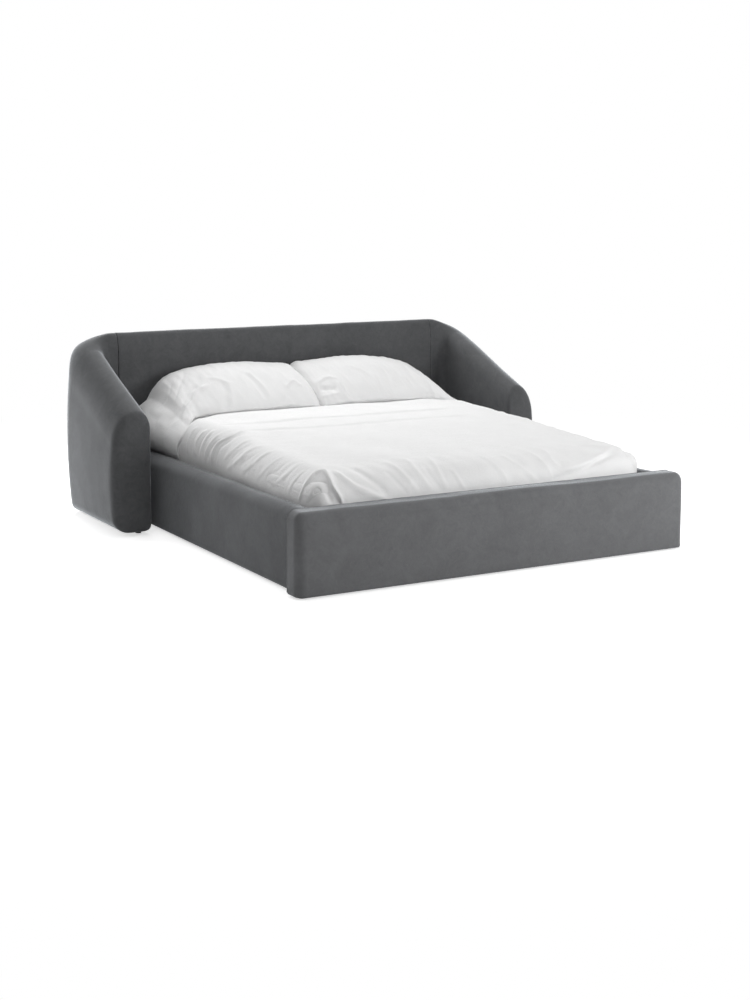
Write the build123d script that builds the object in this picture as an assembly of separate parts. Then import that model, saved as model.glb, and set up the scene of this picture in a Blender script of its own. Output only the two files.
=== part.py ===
from build123d import *
import math
import os

# Upholstered sleigh bed for a California king mattress, in millimetres.
# +X is to the right as seen from the foot end, +Y runs to the head, +Z is up.
# The origin is on the floor, at the middle of the overall length and width.

# ---------------------------------------------------------------- driving dimensions
# Mattress and the room left round it
MATTRESS_WIDTH = 1829.0
MATTRESS_LENGTH = 2134.0
MATTRESS_THICKNESS = 254.0
MATTRESS_CORNER = 60.0
MATTRESS_EDGE = 40.0
SIDE_ROOM = 10.0
FOOT_ROOM = 33.0
HEAD_ROOM = 33.0

# Heights above the floor
FLOOR_GAP = 8.0
WALL_GAP = 18.0
FRAME_BOTTOM = 20.0
FOOTBOARD_TOP = 382.0
RAIL_TOP = 376.0
HEADBOARD_TOP = 986.0
LEDGER_TOP = 190.0

# Upholstered thicknesses and reach
FOOTBOARD_THICKNESS = 115.0
FOOTBOARD_OVERHANG = 31.0
FOOTBOARD_SOFT_EDGE = 34.0
RAIL_THICKNESS = 104.0
RAIL_OUTER_ROUND = 55.0
RAIL_INNER_ROUND = 38.0
PAD_FOOT_EDGE = 12.0
HEADBOARD_THICKNESS = 150.0
HEADBOARD_CREST = 0.33
HEADBOARD_INNER_ROLL = 80.0
HEADBOARD_OUTER_ROLL = 65.0
SEAM_TO_WING = 95.5
SEAM_GAP = 1.0
PAD_GAP = 1.0

# Headboard wings
WING_THICKNESS = 196.0
WING_TO_RAIL = 75.0
WING_REACH = 715.0
WING_SLOPE = 22.5
CROWN_LEVEL = 70.0
CROWN_EASE = 50.0
WING_CREST = 0.30
WING_INNER_ROLL = 85.0
WING_OUTER_ROLL = 195.0
WING_OUTER_CORNER = 205.0
WING_INNER_CORNER = 50.0
WING_FRONT_EDGE = 30.0
WING_FRONT_BULGE = 8.0
WING_CORNER_BULGE = 22.0
WING_HEEL = 75.0
WING_TOE = 30.0

# Timber
BOARD_THICKNESS = 36.0
RAIL_BOARD_TOP = 320.0
RAIL_LINING = 8.0
FOOTBOARD_BACK_LINING = 24.0
FOOTBOARD_BOARD_DROP = 42.0
FOOTBOARD_BOARD_INSET = 40.0
LEDGER_WIDTH = 40.0
LEDGER_HEIGHT = 40.0
HEADBOARD_FRONT_FOAM = 60.0
PANEL_THICKNESS = 12.0
POST_DEPTH = 60.0
POST_WIDTH = 80.0
INNER_POST_WIDTH = 45.0
CROSS_RAIL_HEIGHT = 60.0
HEADBOARD_FRAME_TOP = 820.0
CROSS_RAIL_LAP = 29.5
WING_TIMBER = 45.0
WING_FRAME_DEPTH = 50.0
WING_INNER_FOAM = 12.0
WING_FRONT_FOAM = 60.0
WING_TOP_FOAM = 120.0
WING_SHEET = 5.0

# Slatted deck
SLAT_COUNT = 16
SLAT_WIDTH = 68.0
SLAT_THICKNESS = 9.0
SLAT_CAMBER = 8.0
SLAT_END_MARGIN = 70.0
HOLDER_HEIGHT = 21.0
HOLDER_FLOOR = 6.5
HOLDER_WALL = 4.0
HOLDER_DEPTH = 34.0
SLAT_ENGAGEMENT = 26.0
BEAM_WIDTH = 60.0
BEAM_HEIGHT = 40.0
BEAM_WALL = 2.0
LEG_COUNT = 3
LEG_DIAMETER = 40.0
LEG_WALL = 2.0
LEG_PLATE = 4.0
LEG_BOTTOM = 24.0
FOOT_DISC_DIAMETER = 46.0
FOOT_DISC_HEIGHT = 9.0
STUD_DIAMETER = 10.0
STUD_LENGTH = 60.0
INSERT_FLANGE = 4.0

# Knock-down joints
HOOK_PLATE = 4.0
HOOK_PLATE_HEIGHT = 150.0
HOOK_PLATE_BOTTOM = 90.0
HOOK_COUNT = 2
HOOK_LIP = 7.0
HOOK_WIDTH = 5.0
HOOK_HEIGHT = 30.0
HOOK_DROP = 10.0
HOOK_ROOM = 1.0
GLIDE_DIAMETER = 30.0

# Seam cord of the footboard
WELT_RADIUS = 4.0
WELT_PROUD = 1.5

# Bedding
SHEET = 1.5
COVERLET_FOOT_TOP = 508.0
COVERLET_HEAD_TOP = 584.0
COVERLET_TO_PILLOW = 8.2
COVERLET_SHOULDER = 80.0
COVERLET_HEM = 300.0
PILLOW_DEPTH = 502.0
PILLOW_HEIGHT = 321.0
PILLOW_END_MARGIN = 12.0
PILLOW_BACK_ROOM = 6.0

# Clearances
FIT = 0.5
SOFT_CLEARANCE = 0.4
STUD_CLEARANCE = 0.06

# ---------------------------------------------------------------- derived stations
INNER_HALF = MATTRESS_WIDTH / 2 + SIDE_ROOM
RAIL_OUTER = INNER_HALF + RAIL_THICKNESS
FOOTBOARD_HALF = RAIL_OUTER + FOOTBOARD_OVERHANG
WING_INNER = RAIL_OUTER + WING_TO_RAIL
WING_OUTER = WING_INNER + WING_THICKNESS
SEAM_HALF_SPACING = WING_INNER - SEAM_TO_WING
WING_FRAME_INNER = WING_INNER + WING_INNER_FOAM + WING_SHEET
WING_FRAME_OUTER = WING_FRAME_INNER + WING_FRAME_DEPTH
CROSS_RAIL_HALF = WING_FRAME_INNER + CROSS_RAIL_LAP
INNER_LENGTH = FOOT_ROOM + MATTRESS_LENGTH + HEAD_ROOM
DEPTH = FOOTBOARD_THICKNESS + INNER_LENGTH + HEADBOARD_THICKNESS
FRONT_Y = -DEPTH / 2
FOOT_BACK_Y = FRONT_Y + FOOTBOARD_THICKNESS
HEAD_FACE_Y = FOOT_BACK_Y + INNER_LENGTH
BACK_Y = HEAD_FACE_Y + HEADBOARD_THICKNESS
WING_FRONT_Y = HEAD_FACE_Y - WING_REACH
FOOT_BOARD_Y = FOOT_BACK_Y - FOOTBOARD_BACK_LINING
PANEL_FRONT_Y = HEAD_FACE_Y + HEADBOARD_FRONT_FOAM
POST_FRONT_Y = PANEL_FRONT_Y + PANEL_THICKNESS
POST_BACK_Y = POST_FRONT_Y + POST_DEPTH
BOARD_INNER = INNER_HALF + RAIL_LINING
BOARD_OUTER = BOARD_INNER + BOARD_THICKNESS
BOARD_MID = (BOARD_INNER + BOARD_OUTER) / 2
SLAT_SEAT = LEDGER_TOP + HOLDER_FLOOR + FIT
SLAT_CROWN = SLAT_SEAT + SLAT_THICKNESS + SLAT_CAMBER
MATTRESS_BOTTOM = SLAT_CROWN + SOFT_CLEARANCE
MATTRESS_TOP = MATTRESS_BOTTOM + MATTRESS_THICKNESS
MATTRESS_FOOT_Y = FOOT_BACK_Y + FOOT_ROOM
MATTRESS_HEAD_Y = MATTRESS_FOOT_Y + MATTRESS_LENGTH
SHEET_TOP = MATTRESS_TOP + SOFT_CLEARANCE + SHEET
COVERLET_FOOT_Y = FOOT_BACK_Y + 2 * SOFT_CLEARANCE
PILLOW_BACK_Y = HEAD_FACE_Y - PILLOW_BACK_ROOM
COVERLET_HEAD_Y = PILLOW_BACK_Y - PILLOW_DEPTH - COVERLET_TO_PILLOW
LEG_TOP = LEDGER_TOP - BEAM_HEIGHT


# ---------------------------------------------------------------- helpers
def block(x0, x1, y0, y1, z0, z1):
    """A box between two corners."""
    middle = Pos((x0 + x1) / 2, (y0 + y1) / 2, (z0 + z1) / 2)
    return middle * Box(x1 - x0, y1 - y0, z1 - z0)


def rod(x, y, z0, z1, radius):
    """An upright cylinder between two heights."""
    return Pos(x, y, (z0 + z1) / 2) * Cylinder(radius, z1 - z0)


def side_prism(points, x0, x1):
    """A prism along X whose section is a polygon of (y, z) points."""
    section = Plane.YZ * make_face(Polyline(*points, close=True))
    return Pos(x0, 0, 0) * extrude(section, amount=x1 - x0)


def flipped(shape):
    """The same piece on the other side of the bed."""
    return mirror(shape, about=Plane.YZ)


def save(name, pieces):
    """Write one piece, or several alike, to its own file."""
    if isinstance(pieces, list):
        pieces = Compound(children=pieces)
    pieces.label = name
    export_step(pieces, f"parts/{name}.step")


def save_pair(name, right_piece):
    """Write a piece for the right side and its mirror image for the left."""
    if isinstance(right_piece, list):
        save(f"right_{name}", right_piece)
        save(f"left_{name}", [flipped(piece) for piece in right_piece])
    else:
        save(f"right_{name}", right_piece)
        save(f"left_{name}", flipped(right_piece))


# ---------------------------------------------------------------- upholstered arch sections
# The shape of a padded wall where it is the headboard and where it is a wing: the crest's share
# of the thickness, the heights of the inner and outer rolls, and the roundings at the foot.
HEADBOARD_SHAPE = (
    HEADBOARD_CREST, HEADBOARD_INNER_ROLL, HEADBOARD_OUTER_ROLL, PAD_FOOT_EDGE, PAD_FOOT_EDGE
)
WING_SHAPE = (WING_CREST, WING_INNER_ROLL, WING_OUTER_ROLL, WING_TOE, WING_HEEL)


def arch_wire(inner, outer, crown, shape, inset=0.0, bulge=0.0):
    """The upright section of a padded wall, between two points in plan.

    It has a lopsided rounded top, a slightly full outer side and a rounded foot.
    """
    crest_share, inner_roll, outer_roll, toe_round, heel_round = shape
    run = math.dist(inner, outer)
    across = ((outer[0] - inner[0]) / run, (outer[1] - inner[1]) / run)
    plane = Plane(
        origin=(inner[0], inner[1], 0),
        x_dir=(across[0], across[1], 0),
        z_dir=(across[1], -across[0], 0),
    )
    left = inset
    right = run - inset
    bottom = WALL_GAP + inset
    top = crown - inset
    crest = left + crest_share * (right - left)
    inner_spring = crown - inner_roll
    outer_spring = crown - outer_roll
    toe = max(toe_round - inset, 2.0)
    heel = max(heel_round - inset, 4.0)
    full = (right + 2 * bulge, (bottom + heel + outer_spring) / 2)
    outer_arc = EllipticalCenterArc(
        (crest, outer_spring), right - crest, top - outer_spring, start_angle=0, arc_size=90
    )
    inner_arc = EllipticalCenterArc(
        (crest, inner_spring), crest - left, top - inner_spring, start_angle=90, arc_size=90
    )
    edges = [
        Line((left + toe, bottom), (right - heel, bottom)),
        TangentArc((right - heel, bottom), (right, bottom + heel), tangent=(1, 0)),
        Bezier((right, bottom + heel), full, (right, outer_spring)),
        outer_arc,
        inner_arc,
        Line((left, inner_spring), (left, bottom + toe)),
        TangentArc((left, bottom + toe), (left + toe, bottom), tangent=(0, -1)),
    ]
    return plane * Wire(edges)


def crown_height(path):
    """Height of the crown at a distance along the wall from the seam: level, then falling."""
    past = path - CROWN_LEVEL
    fall = (math.hypot(past, CROWN_EASE) + past) / 2
    start = (math.hypot(CROWN_LEVEL, CROWN_EASE) - CROWN_LEVEL) / 2
    return HEADBOARD_TOP - math.tan(math.radians(WING_SLOPE)) * (fall - start)


# ---------------------------------------------------------------- headboard wings
def wing_path(y):
    """Distance from the seam to a place on the wing's straight part."""
    lead = (WING_OUTER - WING_OUTER_CORNER + WING_INNER - WING_INNER_CORNER) / 2
    corner_y = (BACK_Y - WING_OUTER_CORNER + HEAD_FACE_Y - WING_INNER_CORNER) / 2
    turn = math.pi / 4 * (WING_OUTER_CORNER + WING_INNER_CORNER)
    return lead - SEAM_HALF_SPACING + turn + corner_y - y


def straight_section(y, inset=0.0):
    """A wing section square to the wing's straight part."""
    along = (y - WING_FRONT_Y) / (HEAD_FACE_Y - WING_INNER_CORNER - WING_FRONT_Y)
    bulge = WING_FRONT_BULGE + (WING_CORNER_BULGE - WING_FRONT_BULGE) * along
    crown = crown_height(wing_path(y))
    return arch_wire((WING_INNER, y), (WING_OUTER, y), crown, WING_SHAPE, inset, bulge)


def corner_section(angle):
    """A wing section part way round the back corner, 0 at the wing and 90 at the back."""
    turn = math.radians(angle)
    outer_centre = (WING_OUTER - WING_OUTER_CORNER, BACK_Y - WING_OUTER_CORNER)
    inner_centre = (WING_INNER - WING_INNER_CORNER, HEAD_FACE_Y - WING_INNER_CORNER)
    outer = (
        outer_centre[0] + WING_OUTER_CORNER * math.cos(turn),
        outer_centre[1] + WING_OUTER_CORNER * math.sin(turn),
    )
    inner = (
        inner_centre[0] + WING_INNER_CORNER * math.cos(turn),
        inner_centre[1] + WING_INNER_CORNER * math.sin(turn),
    )
    lead = (outer_centre[0] + inner_centre[0]) / 2 - SEAM_HALF_SPACING
    path = lead + (WING_OUTER_CORNER + WING_INNER_CORNER) / 2 * (math.pi / 2 - turn)
    blend = min(angle / 45, 1.0)
    shape = [a + (b - a) * blend for a, b in zip(WING_SHAPE, HEADBOARD_SHAPE)]
    bulge = WING_CORNER_BULGE * (1 - angle / 90)
    return arch_wire(inner, outer, crown_height(path), shape, bulge=bulge)


def seam_section(x):
    """The wing's last section, where it is sewn to the middle pad."""
    return arch_wire((x, HEAD_FACE_Y), (x, BACK_Y), crown_height(0), HEADBOARD_SHAPE)


def wing_form():
    """The outer form of the right wing with its corner, before it is hollowed."""
    cap = []
    for angle in (0, 30, 60, 90):
        back = WING_FRONT_EDGE * (1 - math.cos(math.radians(angle)))
        inset = WING_FRONT_EDGE * (1 - math.sin(math.radians(angle)))
        cap.append(straight_section(WING_FRONT_Y + back, inset))
    straight_start = WING_FRONT_Y + WING_FRONT_EDGE
    straight_end = HEAD_FACE_Y - WING_INNER_CORNER - WING_THICKNESS / 2
    steps = 3
    wall = []
    for step in range(steps + 1):
        wall.append(straight_section(straight_start + (straight_end - straight_start) * step / steps))
    wall.append(corner_section(0))
    corner = [corner_section(22.5 * step) for step in range(5)]
    corner.append(seam_section(SEAM_HALF_SPACING + SEAM_GAP / 2))
    return Solid.make_loft(cap) + Solid.make_loft(wall) + Solid.make_loft(corner)


def wing_slope_line(y, drop):
    """A height that runs parallel to the wing's crown, some way under it."""
    return crown_height(wing_path(y)) - drop


def wing_bay(x0, x1, front, back, foot, drop, cap):
    """The straight-sided space under the wing's sloping top, as a prism across the wing."""
    low = wing_slope_line(front, drop)
    rise = math.tan(math.radians(WING_SLOPE))
    reach = front + (cap - low) / rise
    points = [(front, foot), (back, foot), (back, cap)]
    if reach < back:
        points.append((reach, cap))
    points.append((front, low))
    return side_prism(points, x0, x1)


def wing_pad():
    """Foam and cover of the right wing and corner, round its timber frame."""
    bay = wing_bay(
        WING_FRAME_INNER - WING_SHEET - FIT, WING_FRAME_OUTER + WING_SHEET + FIT,
        WING_FRONT_Y + WING_FRONT_FOAM - FIT, POST_FRONT_Y, 0, WING_TOP_FOAM - FIT,
        HEADBOARD_FRAME_TOP + FIT,
    )
    rail_bay = block(
        INNER_HALF, CROSS_RAIL_HALF + FIT, POST_FRONT_Y - FIT,
        POST_BACK_Y + FIT, 0, HEADBOARD_FRAME_TOP + FIT,
    )
    return wing_form() - bay - rail_bay


def wing_frame():
    """Posts, base rail and sloping top rail of the right wing."""
    x0 = WING_FRAME_INNER
    x1 = WING_FRAME_OUTER
    front = WING_FRONT_Y + WING_FRONT_FOAM
    back = POST_FRONT_Y
    bay = wing_bay(x0, x1, front, back, FRAME_BOTTOM, WING_TOP_FOAM, HEADBOARD_FRAME_TOP)
    under = wing_bay(
        x0, x1, front, back, FRAME_BOTTOM, WING_TOP_FOAM + WING_TIMBER,
        HEADBOARD_FRAME_TOP - WING_TIMBER,
    )
    base_top = FRAME_BOTTOM + WING_TIMBER
    pieces = [block(x0, x1, front, back, FRAME_BOTTOM, base_top), bay - under]
    for y in (front, (front + back - WING_TIMBER) / 2, back - WING_TIMBER):
        post = block(x0, x1, y, y + WING_TIMBER, base_top, HEADBOARD_TOP)
        pieces.append(under & post)
    return pieces


def wing_sheets():
    """Thin board on both faces of the right wing's frame, under its foam."""
    front = WING_FRONT_Y + WING_FRONT_FOAM
    sheets = []
    for x in (WING_FRAME_INNER - WING_SHEET, WING_FRAME_OUTER):
        sheet = wing_bay(
            x, x + WING_SHEET, front, POST_FRONT_Y - FIT, FRAME_BOTTOM, WING_TOP_FOAM,
            HEADBOARD_FRAME_TOP,
        )
        sheets.append(sheet)
    return sheets


# ---------------------------------------------------------------- headboard middle
def rail_slot(y0, y1, side):
    """Clearance for a rail's board and hook plates, on one side of the bed."""
    slot = block(BOARD_INNER - FIT, BOARD_OUTER + FIT, y0, y1, 0, RAIL_BOARD_TOP + FIT)
    return slot if side > 0 else flipped(slot)


def beam_window(y0, y1):
    """Clearance for the centre beam's end and its saddle."""
    half = BEAM_WIDTH / 2 + 2 * HOOK_PLATE + FIT
    return block(-half, half, y0, y1, LEG_TOP - 2 * HOOK_PLATE - FIT, LEDGER_TOP + FIT)


def headboard_pad():
    """Foam and cover of the headboard's middle, rolled over the top and down the back."""
    section = arch_wire((0, HEAD_FACE_Y), (0, BACK_Y), crown_height(0), HEADBOARD_SHAPE)
    half = SEAM_HALF_SPACING - SEAM_GAP / 2
    form = Pos(-half, 0, 0) * extrude(make_face(section), amount=2 * half, dir=(1, 0, 0))
    pocket = block(
        -half - 1, half + 1, PANEL_FRONT_Y - FIT, BACK_Y + 20, 0, HEADBOARD_FRAME_TOP + 2 * PANEL_THICKNESS
    )
    form = form - pocket - beam_window(HEAD_FACE_Y - 1, PANEL_FRONT_Y + 1)
    for side in (-1, 1):
        form -= rail_slot(HEAD_FACE_Y - 1, PANEL_FRONT_Y + 1, side)
    return form


def headboard_panel():
    """Plywood on the front of the headboard frame, with mortises for the rail hooks."""
    half = SEAM_HALF_SPACING - SEAM_GAP / 2 - FIT
    panel = block(
        -half, half, PANEL_FRONT_Y, POST_FRONT_Y, FRAME_BOTTOM, HEADBOARD_FRAME_TOP + PANEL_THICKNESS
    )
    for side in (-1, 1):
        for mortise in hook_mortises(PANEL_FRONT_Y, 1, side):
            panel -= mortise
    return panel


def headboard_posts():
    """Uprights of the headboard frame: one behind each rail and two between."""
    z0 = FRAME_BOTTOM + CROSS_RAIL_HEIGHT
    z1 = HEADBOARD_FRAME_TOP - CROSS_RAIL_HEIGHT
    posts = []
    for x, width in (
        (-BOARD_MID, POST_WIDTH),
        (-BOARD_MID / 3, INNER_POST_WIDTH),
        (BOARD_MID / 3, INNER_POST_WIDTH),
        (BOARD_MID, POST_WIDTH),
    ):
        posts.append(block(x - width / 2, x + width / 2, POST_FRONT_Y, POST_BACK_Y, z0, z1))
    return posts


def headboard_cross_rails():
    """Bottom and top rails of the headboard frame, reaching into both wings."""
    half = CROSS_RAIL_HALF
    rails = []
    for z in (FRAME_BOTTOM, HEADBOARD_FRAME_TOP - CROSS_RAIL_HEIGHT):
        rails.append(block(-half, half, POST_FRONT_Y, POST_BACK_Y, z, z + CROSS_RAIL_HEIGHT))
    return rails


def rear_cover():
    """Covered board that closes the back of the headboard between the seams."""
    half = SEAM_HALF_SPACING - SEAM_GAP / 2 - FIT
    top = HEADBOARD_FRAME_TOP + 2 * PANEL_THICKNESS - FIT
    cover = block(-half, half, POST_BACK_Y + FIT, BACK_Y, FRAME_BOTTOM, top)
    rims = cover.edges().filter_by(GeomType.LINE).group_by(Axis.Y)[-1]
    return fillet(rims, 3)


# ---------------------------------------------------------------- footboard
def footboard_form():
    """The outer form of the footboard, with soft front, top and end edges."""
    form = block(
        -FOOTBOARD_HALF, FOOTBOARD_HALF, FRONT_Y, FOOT_BACK_Y, FLOOR_GAP, FOOTBOARD_TOP
    )
    uprights = form.edges().filter_by(Axis.Z).group_by(Axis.Y)[0]
    front_top = form.edges().filter_by(Axis.X).group_by(Axis.Z)[-1].sort_by(Axis.Y)[0]
    end_tops = form.edges().filter_by(Axis.Y).group_by(Axis.Z)[-1]
    form = fillet(uprights + [front_top] + end_tops, FOOTBOARD_SOFT_EDGE)
    feet = form.edges().group_by(Axis.Z)[0]
    return fillet(feet, PAD_FOOT_EDGE / 2)


def footboard_welt_path(inset):
    """The route of the seam cord round the footboard's back edge."""
    half = FOOTBOARD_HALF - inset
    top = FOOTBOARD_TOP - inset
    bend = FOOTBOARD_SOFT_EDGE - inset
    y = FOOT_BACK_Y - WELT_RADIUS
    return Wire([
        Line((-half, y, FLOOR_GAP + PAD_FOOT_EDGE), (-half, y, top - bend)),
        TangentArc((-half, y, top - bend), (-half + bend, y, top), tangent=(0, 0, 1)),
        Line((-half + bend, y, top), (half - bend, y, top)),
        TangentArc((half - bend, y, top), (half, y, top - bend), tangent=(1, 0, 0)),
        Line((half, y, top - bend), (half, y, FLOOR_GAP + PAD_FOOT_EDGE)),
    ])


def welt(radius):
    """A cord of one radius along the footboard's back edge."""
    path = footboard_welt_path(WELT_RADIUS - WELT_PROUD)
    start = path @ 0
    section = Plane(origin=start, z_dir=(0, 0, 1)) * Circle(radius)
    return sweep(section, path=path)


def footboard_pad():
    """Foam and cover of the footboard, wrapped over its board and down the back."""
    board_half = FOOTBOARD_HALF - FOOTBOARD_BOARD_INSET
    board_front = FOOT_BOARD_Y - BOARD_THICKNESS
    pocket = block(
        -board_half - FIT, board_half + FIT, board_front - FIT, FOOT_BOARD_Y + FIT,
        0, FOOTBOARD_TOP - FOOTBOARD_BOARD_DROP + FIT,
    )
    pad = footboard_form() - pocket - beam_window(FOOT_BOARD_Y - 1, FOOT_BACK_Y + 1)
    for side in (-1, 1):
        pad -= rail_slot(FOOT_BOARD_Y - 1, FOOT_BACK_Y + 1, side)
    return pad - welt(WELT_RADIUS + SOFT_CLEARANCE / 2)


def footboard_board():
    """Timber board inside the footboard, with mortises for the rail hooks."""
    half = FOOTBOARD_HALF - FOOTBOARD_BOARD_INSET
    board = block(
        -half, half, FOOT_BOARD_Y - BOARD_THICKNESS, FOOT_BOARD_Y,
        FRAME_BOTTOM, FOOTBOARD_TOP - FOOTBOARD_BOARD_DROP,
    )
    for side in (-1, 1):
        for mortise in hook_mortises(FOOT_BOARD_Y, -1, side):
            board -= mortise
    return board


# ---------------------------------------------------------------- hooked rail joints
def hook_heights():
    """Heights of the undersides of the hooks on one plate."""
    pitch = HOOK_PLATE_HEIGHT / HOOK_COUNT
    first = HOOK_PLATE_BOTTOM + (pitch - HOOK_HEIGHT) / 2
    return [first + pitch * row for row in range(HOOK_COUNT)]


def across_board(shape_half, side):
    """The two faces, in x, of something centred on a rail's board."""
    middle = BOARD_MID * side
    return middle - shape_half, middle + shape_half


def hook_mortises(face, way, side):
    """Recesses for the hooks' lips, cut into a board from its face."""
    x0, x1 = across_board(HOOK_WIDTH / 2 + HOOK_ROOM, side)
    depth = FIT + HOOK_LIP + HOOK_ROOM
    y0, y1 = sorted((face - way, face + way * depth))
    recesses = []
    for z in hook_heights():
        top = z + HOOK_HEIGHT + HOOK_DROP + HOOK_ROOM
        recesses.append(block(x0, x1, y0, y1, z - HOOK_DROP - HOOK_ROOM, top))
    return recesses


def keeper_plate(face, way, side):
    """Slotted steel plate on a board's face, which the hooks drop into."""
    x0, x1 = across_board(BOARD_THICKNESS / 2 - HOOK_ROOM, side)
    y0, y1 = sorted((face, face - way * HOOK_PLATE))
    plate = block(x0, x1, y0, y1, HOOK_PLATE_BOTTOM, HOOK_PLATE_BOTTOM + HOOK_PLATE_HEIGHT)
    s0, s1 = across_board(HOOK_WIDTH / 2 + HOOK_ROOM / 2, side)
    for z in hook_heights():
        plate -= block(s0, s1, y0 - 1, y1 + 1, z - FIT / 5, z + HOOK_HEIGHT + HOOK_DROP)
    return plate


def hook_plate(face, way, side):
    """Steel plate on a rail's end, with hooks that point into the keeper."""
    x0, x1 = across_board(BOARD_THICKNESS / 2 - HOOK_ROOM, side)
    near = face - way * (HOOK_PLATE + FIT)
    far = near - way * HOOK_PLATE
    y0, y1 = sorted((near, far))
    plate = block(x0, x1, y0, y1, HOOK_PLATE_BOTTOM, HOOK_PLATE_BOTTOM + HOOK_PLATE_HEIGHT)
    lip = face + way * FIT
    end = lip + way * HOOK_LIP
    h0, h1 = across_board(HOOK_WIDTH / 2, side)
    for z in hook_heights():
        profile = [
            (near, z), (lip, z), (lip, z - HOOK_DROP), (end, z - HOOK_DROP),
            (end, z + HOOK_HEIGHT), (near, z + HOOK_HEIGHT),
        ]
        plate += side_prism(profile, h0, h1)
    return plate


def at_four_joints(make):
    """The same joint piece at both ends of both rails."""
    pieces = []
    for side in (-1, 1):
        pieces.append(make(FOOT_BOARD_Y, -1, side))
        pieces.append(make(PANEL_FRONT_Y, 1, side))
    return pieces


# ---------------------------------------------------------------- side rails
RAIL_END_ROOM = 2 * HOOK_PLATE + FIT


def rail_board():
    """Timber board inside the right rail, from hook plate to hook plate."""
    return block(
        BOARD_INNER, BOARD_OUTER, FOOT_BOARD_Y + RAIL_END_ROOM, PANEL_FRONT_Y - RAIL_END_ROOM,
        FRAME_BOTTOM, RAIL_BOARD_TOP,
    )


def rail_pad():
    """Foam and cover of the right rail, over its board's outside and top."""
    width = RAIL_THICKNESS
    height = RAIL_TOP - FLOOR_GAP
    lining_foot = SLAT_CROWN - FLOOR_GAP
    outline = Polyline(
        (0, lining_foot), (0, height), (width, height), (width, 0),
        (BOARD_OUTER + FIT - INNER_HALF, 0),
        (BOARD_OUTER + FIT - INNER_HALF, RAIL_BOARD_TOP + FIT - FLOOR_GAP),
        (RAIL_LINING - FIT, RAIL_BOARD_TOP + FIT - FLOOR_GAP), (RAIL_LINING - FIT, lining_foot),
        close=True,
    )
    section = make_face(outline)
    corners = section.vertices()
    top = corners.group_by(Axis.Y)[-1].sort_by(Axis.X)
    section = fillet(top[0], RAIL_INNER_ROUND)
    top = section.vertices().filter_by(lambda v: v.X > width - 1 and v.Y > height - 1)
    section = fillet(top, RAIL_OUTER_ROUND)
    foot = section.vertices().filter_by(lambda v: v.X > width - 1 and v.Y < 1)
    section = fillet(foot, PAD_FOOT_EDGE)
    plane = Plane(origin=(INNER_HALF, FOOT_BACK_Y + PAD_GAP, FLOOR_GAP), x_dir=(1, 0, 0), z_dir=(0, -1, 0))
    return extrude(plane * section, amount=INNER_LENGTH - 2 * PAD_GAP, dir=(0, 1, 0))


def ledger():
    """Timber ledger on the inside of the right rail's board, under the slat holders."""
    return block(
        BOARD_INNER - LEDGER_WIDTH, BOARD_INNER, FOOT_BACK_Y + PAD_GAP, HEAD_FACE_Y - PAD_GAP,
        LEDGER_TOP - LEDGER_HEIGHT, LEDGER_TOP,
    )


# ---------------------------------------------------------------- slatted deck
def slat_stations():
    """Middles of the slats along the bed."""
    first = FOOT_BACK_Y + SLAT_END_MARGIN
    last = HEAD_FACE_Y - SLAT_END_MARGIN
    pitch = (last - first) / (SLAT_COUNT - 1)
    return [first + pitch * index for index in range(SLAT_COUNT)]


HOLDER_OUTER = BOARD_INNER - FIT
SLAT_OUTER_END = HOLDER_OUTER - HOLDER_WALL - FIT
SLAT_INNER_END = HOLDER_WALL / 2 + FIT


def slat(y):
    """One right-hand sprung slat, bowed upwards between its holders."""
    flat_outer = SLAT_OUTER_END - SLAT_ENGAGEMENT
    flat_inner = SLAT_INNER_END + SLAT_ENGAGEMENT
    middle = (flat_outer + flat_inner) / 2
    low = SLAT_SEAT
    high = low + SLAT_THICKNESS
    outline = Wire([
        Line((SLAT_INNER_END, low), (flat_inner, low)),
        ThreePointArc((flat_inner, low), (middle, low + SLAT_CAMBER), (flat_outer, low)),
        Line((flat_outer, low), (SLAT_OUTER_END, low)),
        Line((SLAT_OUTER_END, low), (SLAT_OUTER_END, high)),
        Line((SLAT_OUTER_END, high), (flat_outer, high)),
        ThreePointArc((flat_outer, high), (middle, high + SLAT_CAMBER), (flat_inner, high)),
        Line((flat_inner, high), (SLAT_INNER_END, high)),
        Line((SLAT_INNER_END, high), (SLAT_INNER_END, low)),
    ])
    plane = Plane(origin=(0, y - SLAT_WIDTH / 2, 0), x_dir=(1, 0, 0), z_dir=(0, -1, 0))
    return extrude(plane * make_face(outline), amount=SLAT_WIDTH, dir=(0, 1, 0))


def slat_socket(x0, x1, y):
    """The room a slat's end takes in a holder, with its clearance."""
    half = SLAT_WIDTH / 2 + FIT
    return block(x0, x1, y - half, y + half, SLAT_SEAT - FIT, SLAT_SEAT + SLAT_THICKNESS + FIT)


def outer_holder(y):
    """Plastic holder on the right ledger for one slat's end."""
    half = SLAT_WIDTH / 2 + FIT + HOLDER_WALL
    body = block(
        HOLDER_OUTER - HOLDER_DEPTH, HOLDER_OUTER, y - half, y + half, LEDGER_TOP,
        LEDGER_TOP + HOLDER_HEIGHT,
    )
    return body - slat_socket(HOLDER_OUTER - HOLDER_DEPTH - 1, HOLDER_OUTER - HOLDER_WALL, y)


def centre_holder(y):
    """Plastic holder on the centre beam for the ends of two slats."""
    half = SLAT_WIDTH / 2 + FIT + HOLDER_WALL
    reach = SLAT_INNER_END + HOLDER_DEPTH - HOLDER_WALL
    body = block(-reach, reach, y - half, y + half, LEDGER_TOP, LEDGER_TOP + HOLDER_HEIGHT)
    socket = slat_socket(HOLDER_WALL / 2, reach + 1, y)
    return body - socket - flipped(socket)


# ---------------------------------------------------------------- centre beam and legs
SADDLE_Y_FOOT = FOOT_BOARD_Y + HOOK_PLATE
SADDLE_Y_HEAD = PANEL_FRONT_Y - HOOK_PLATE


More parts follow.
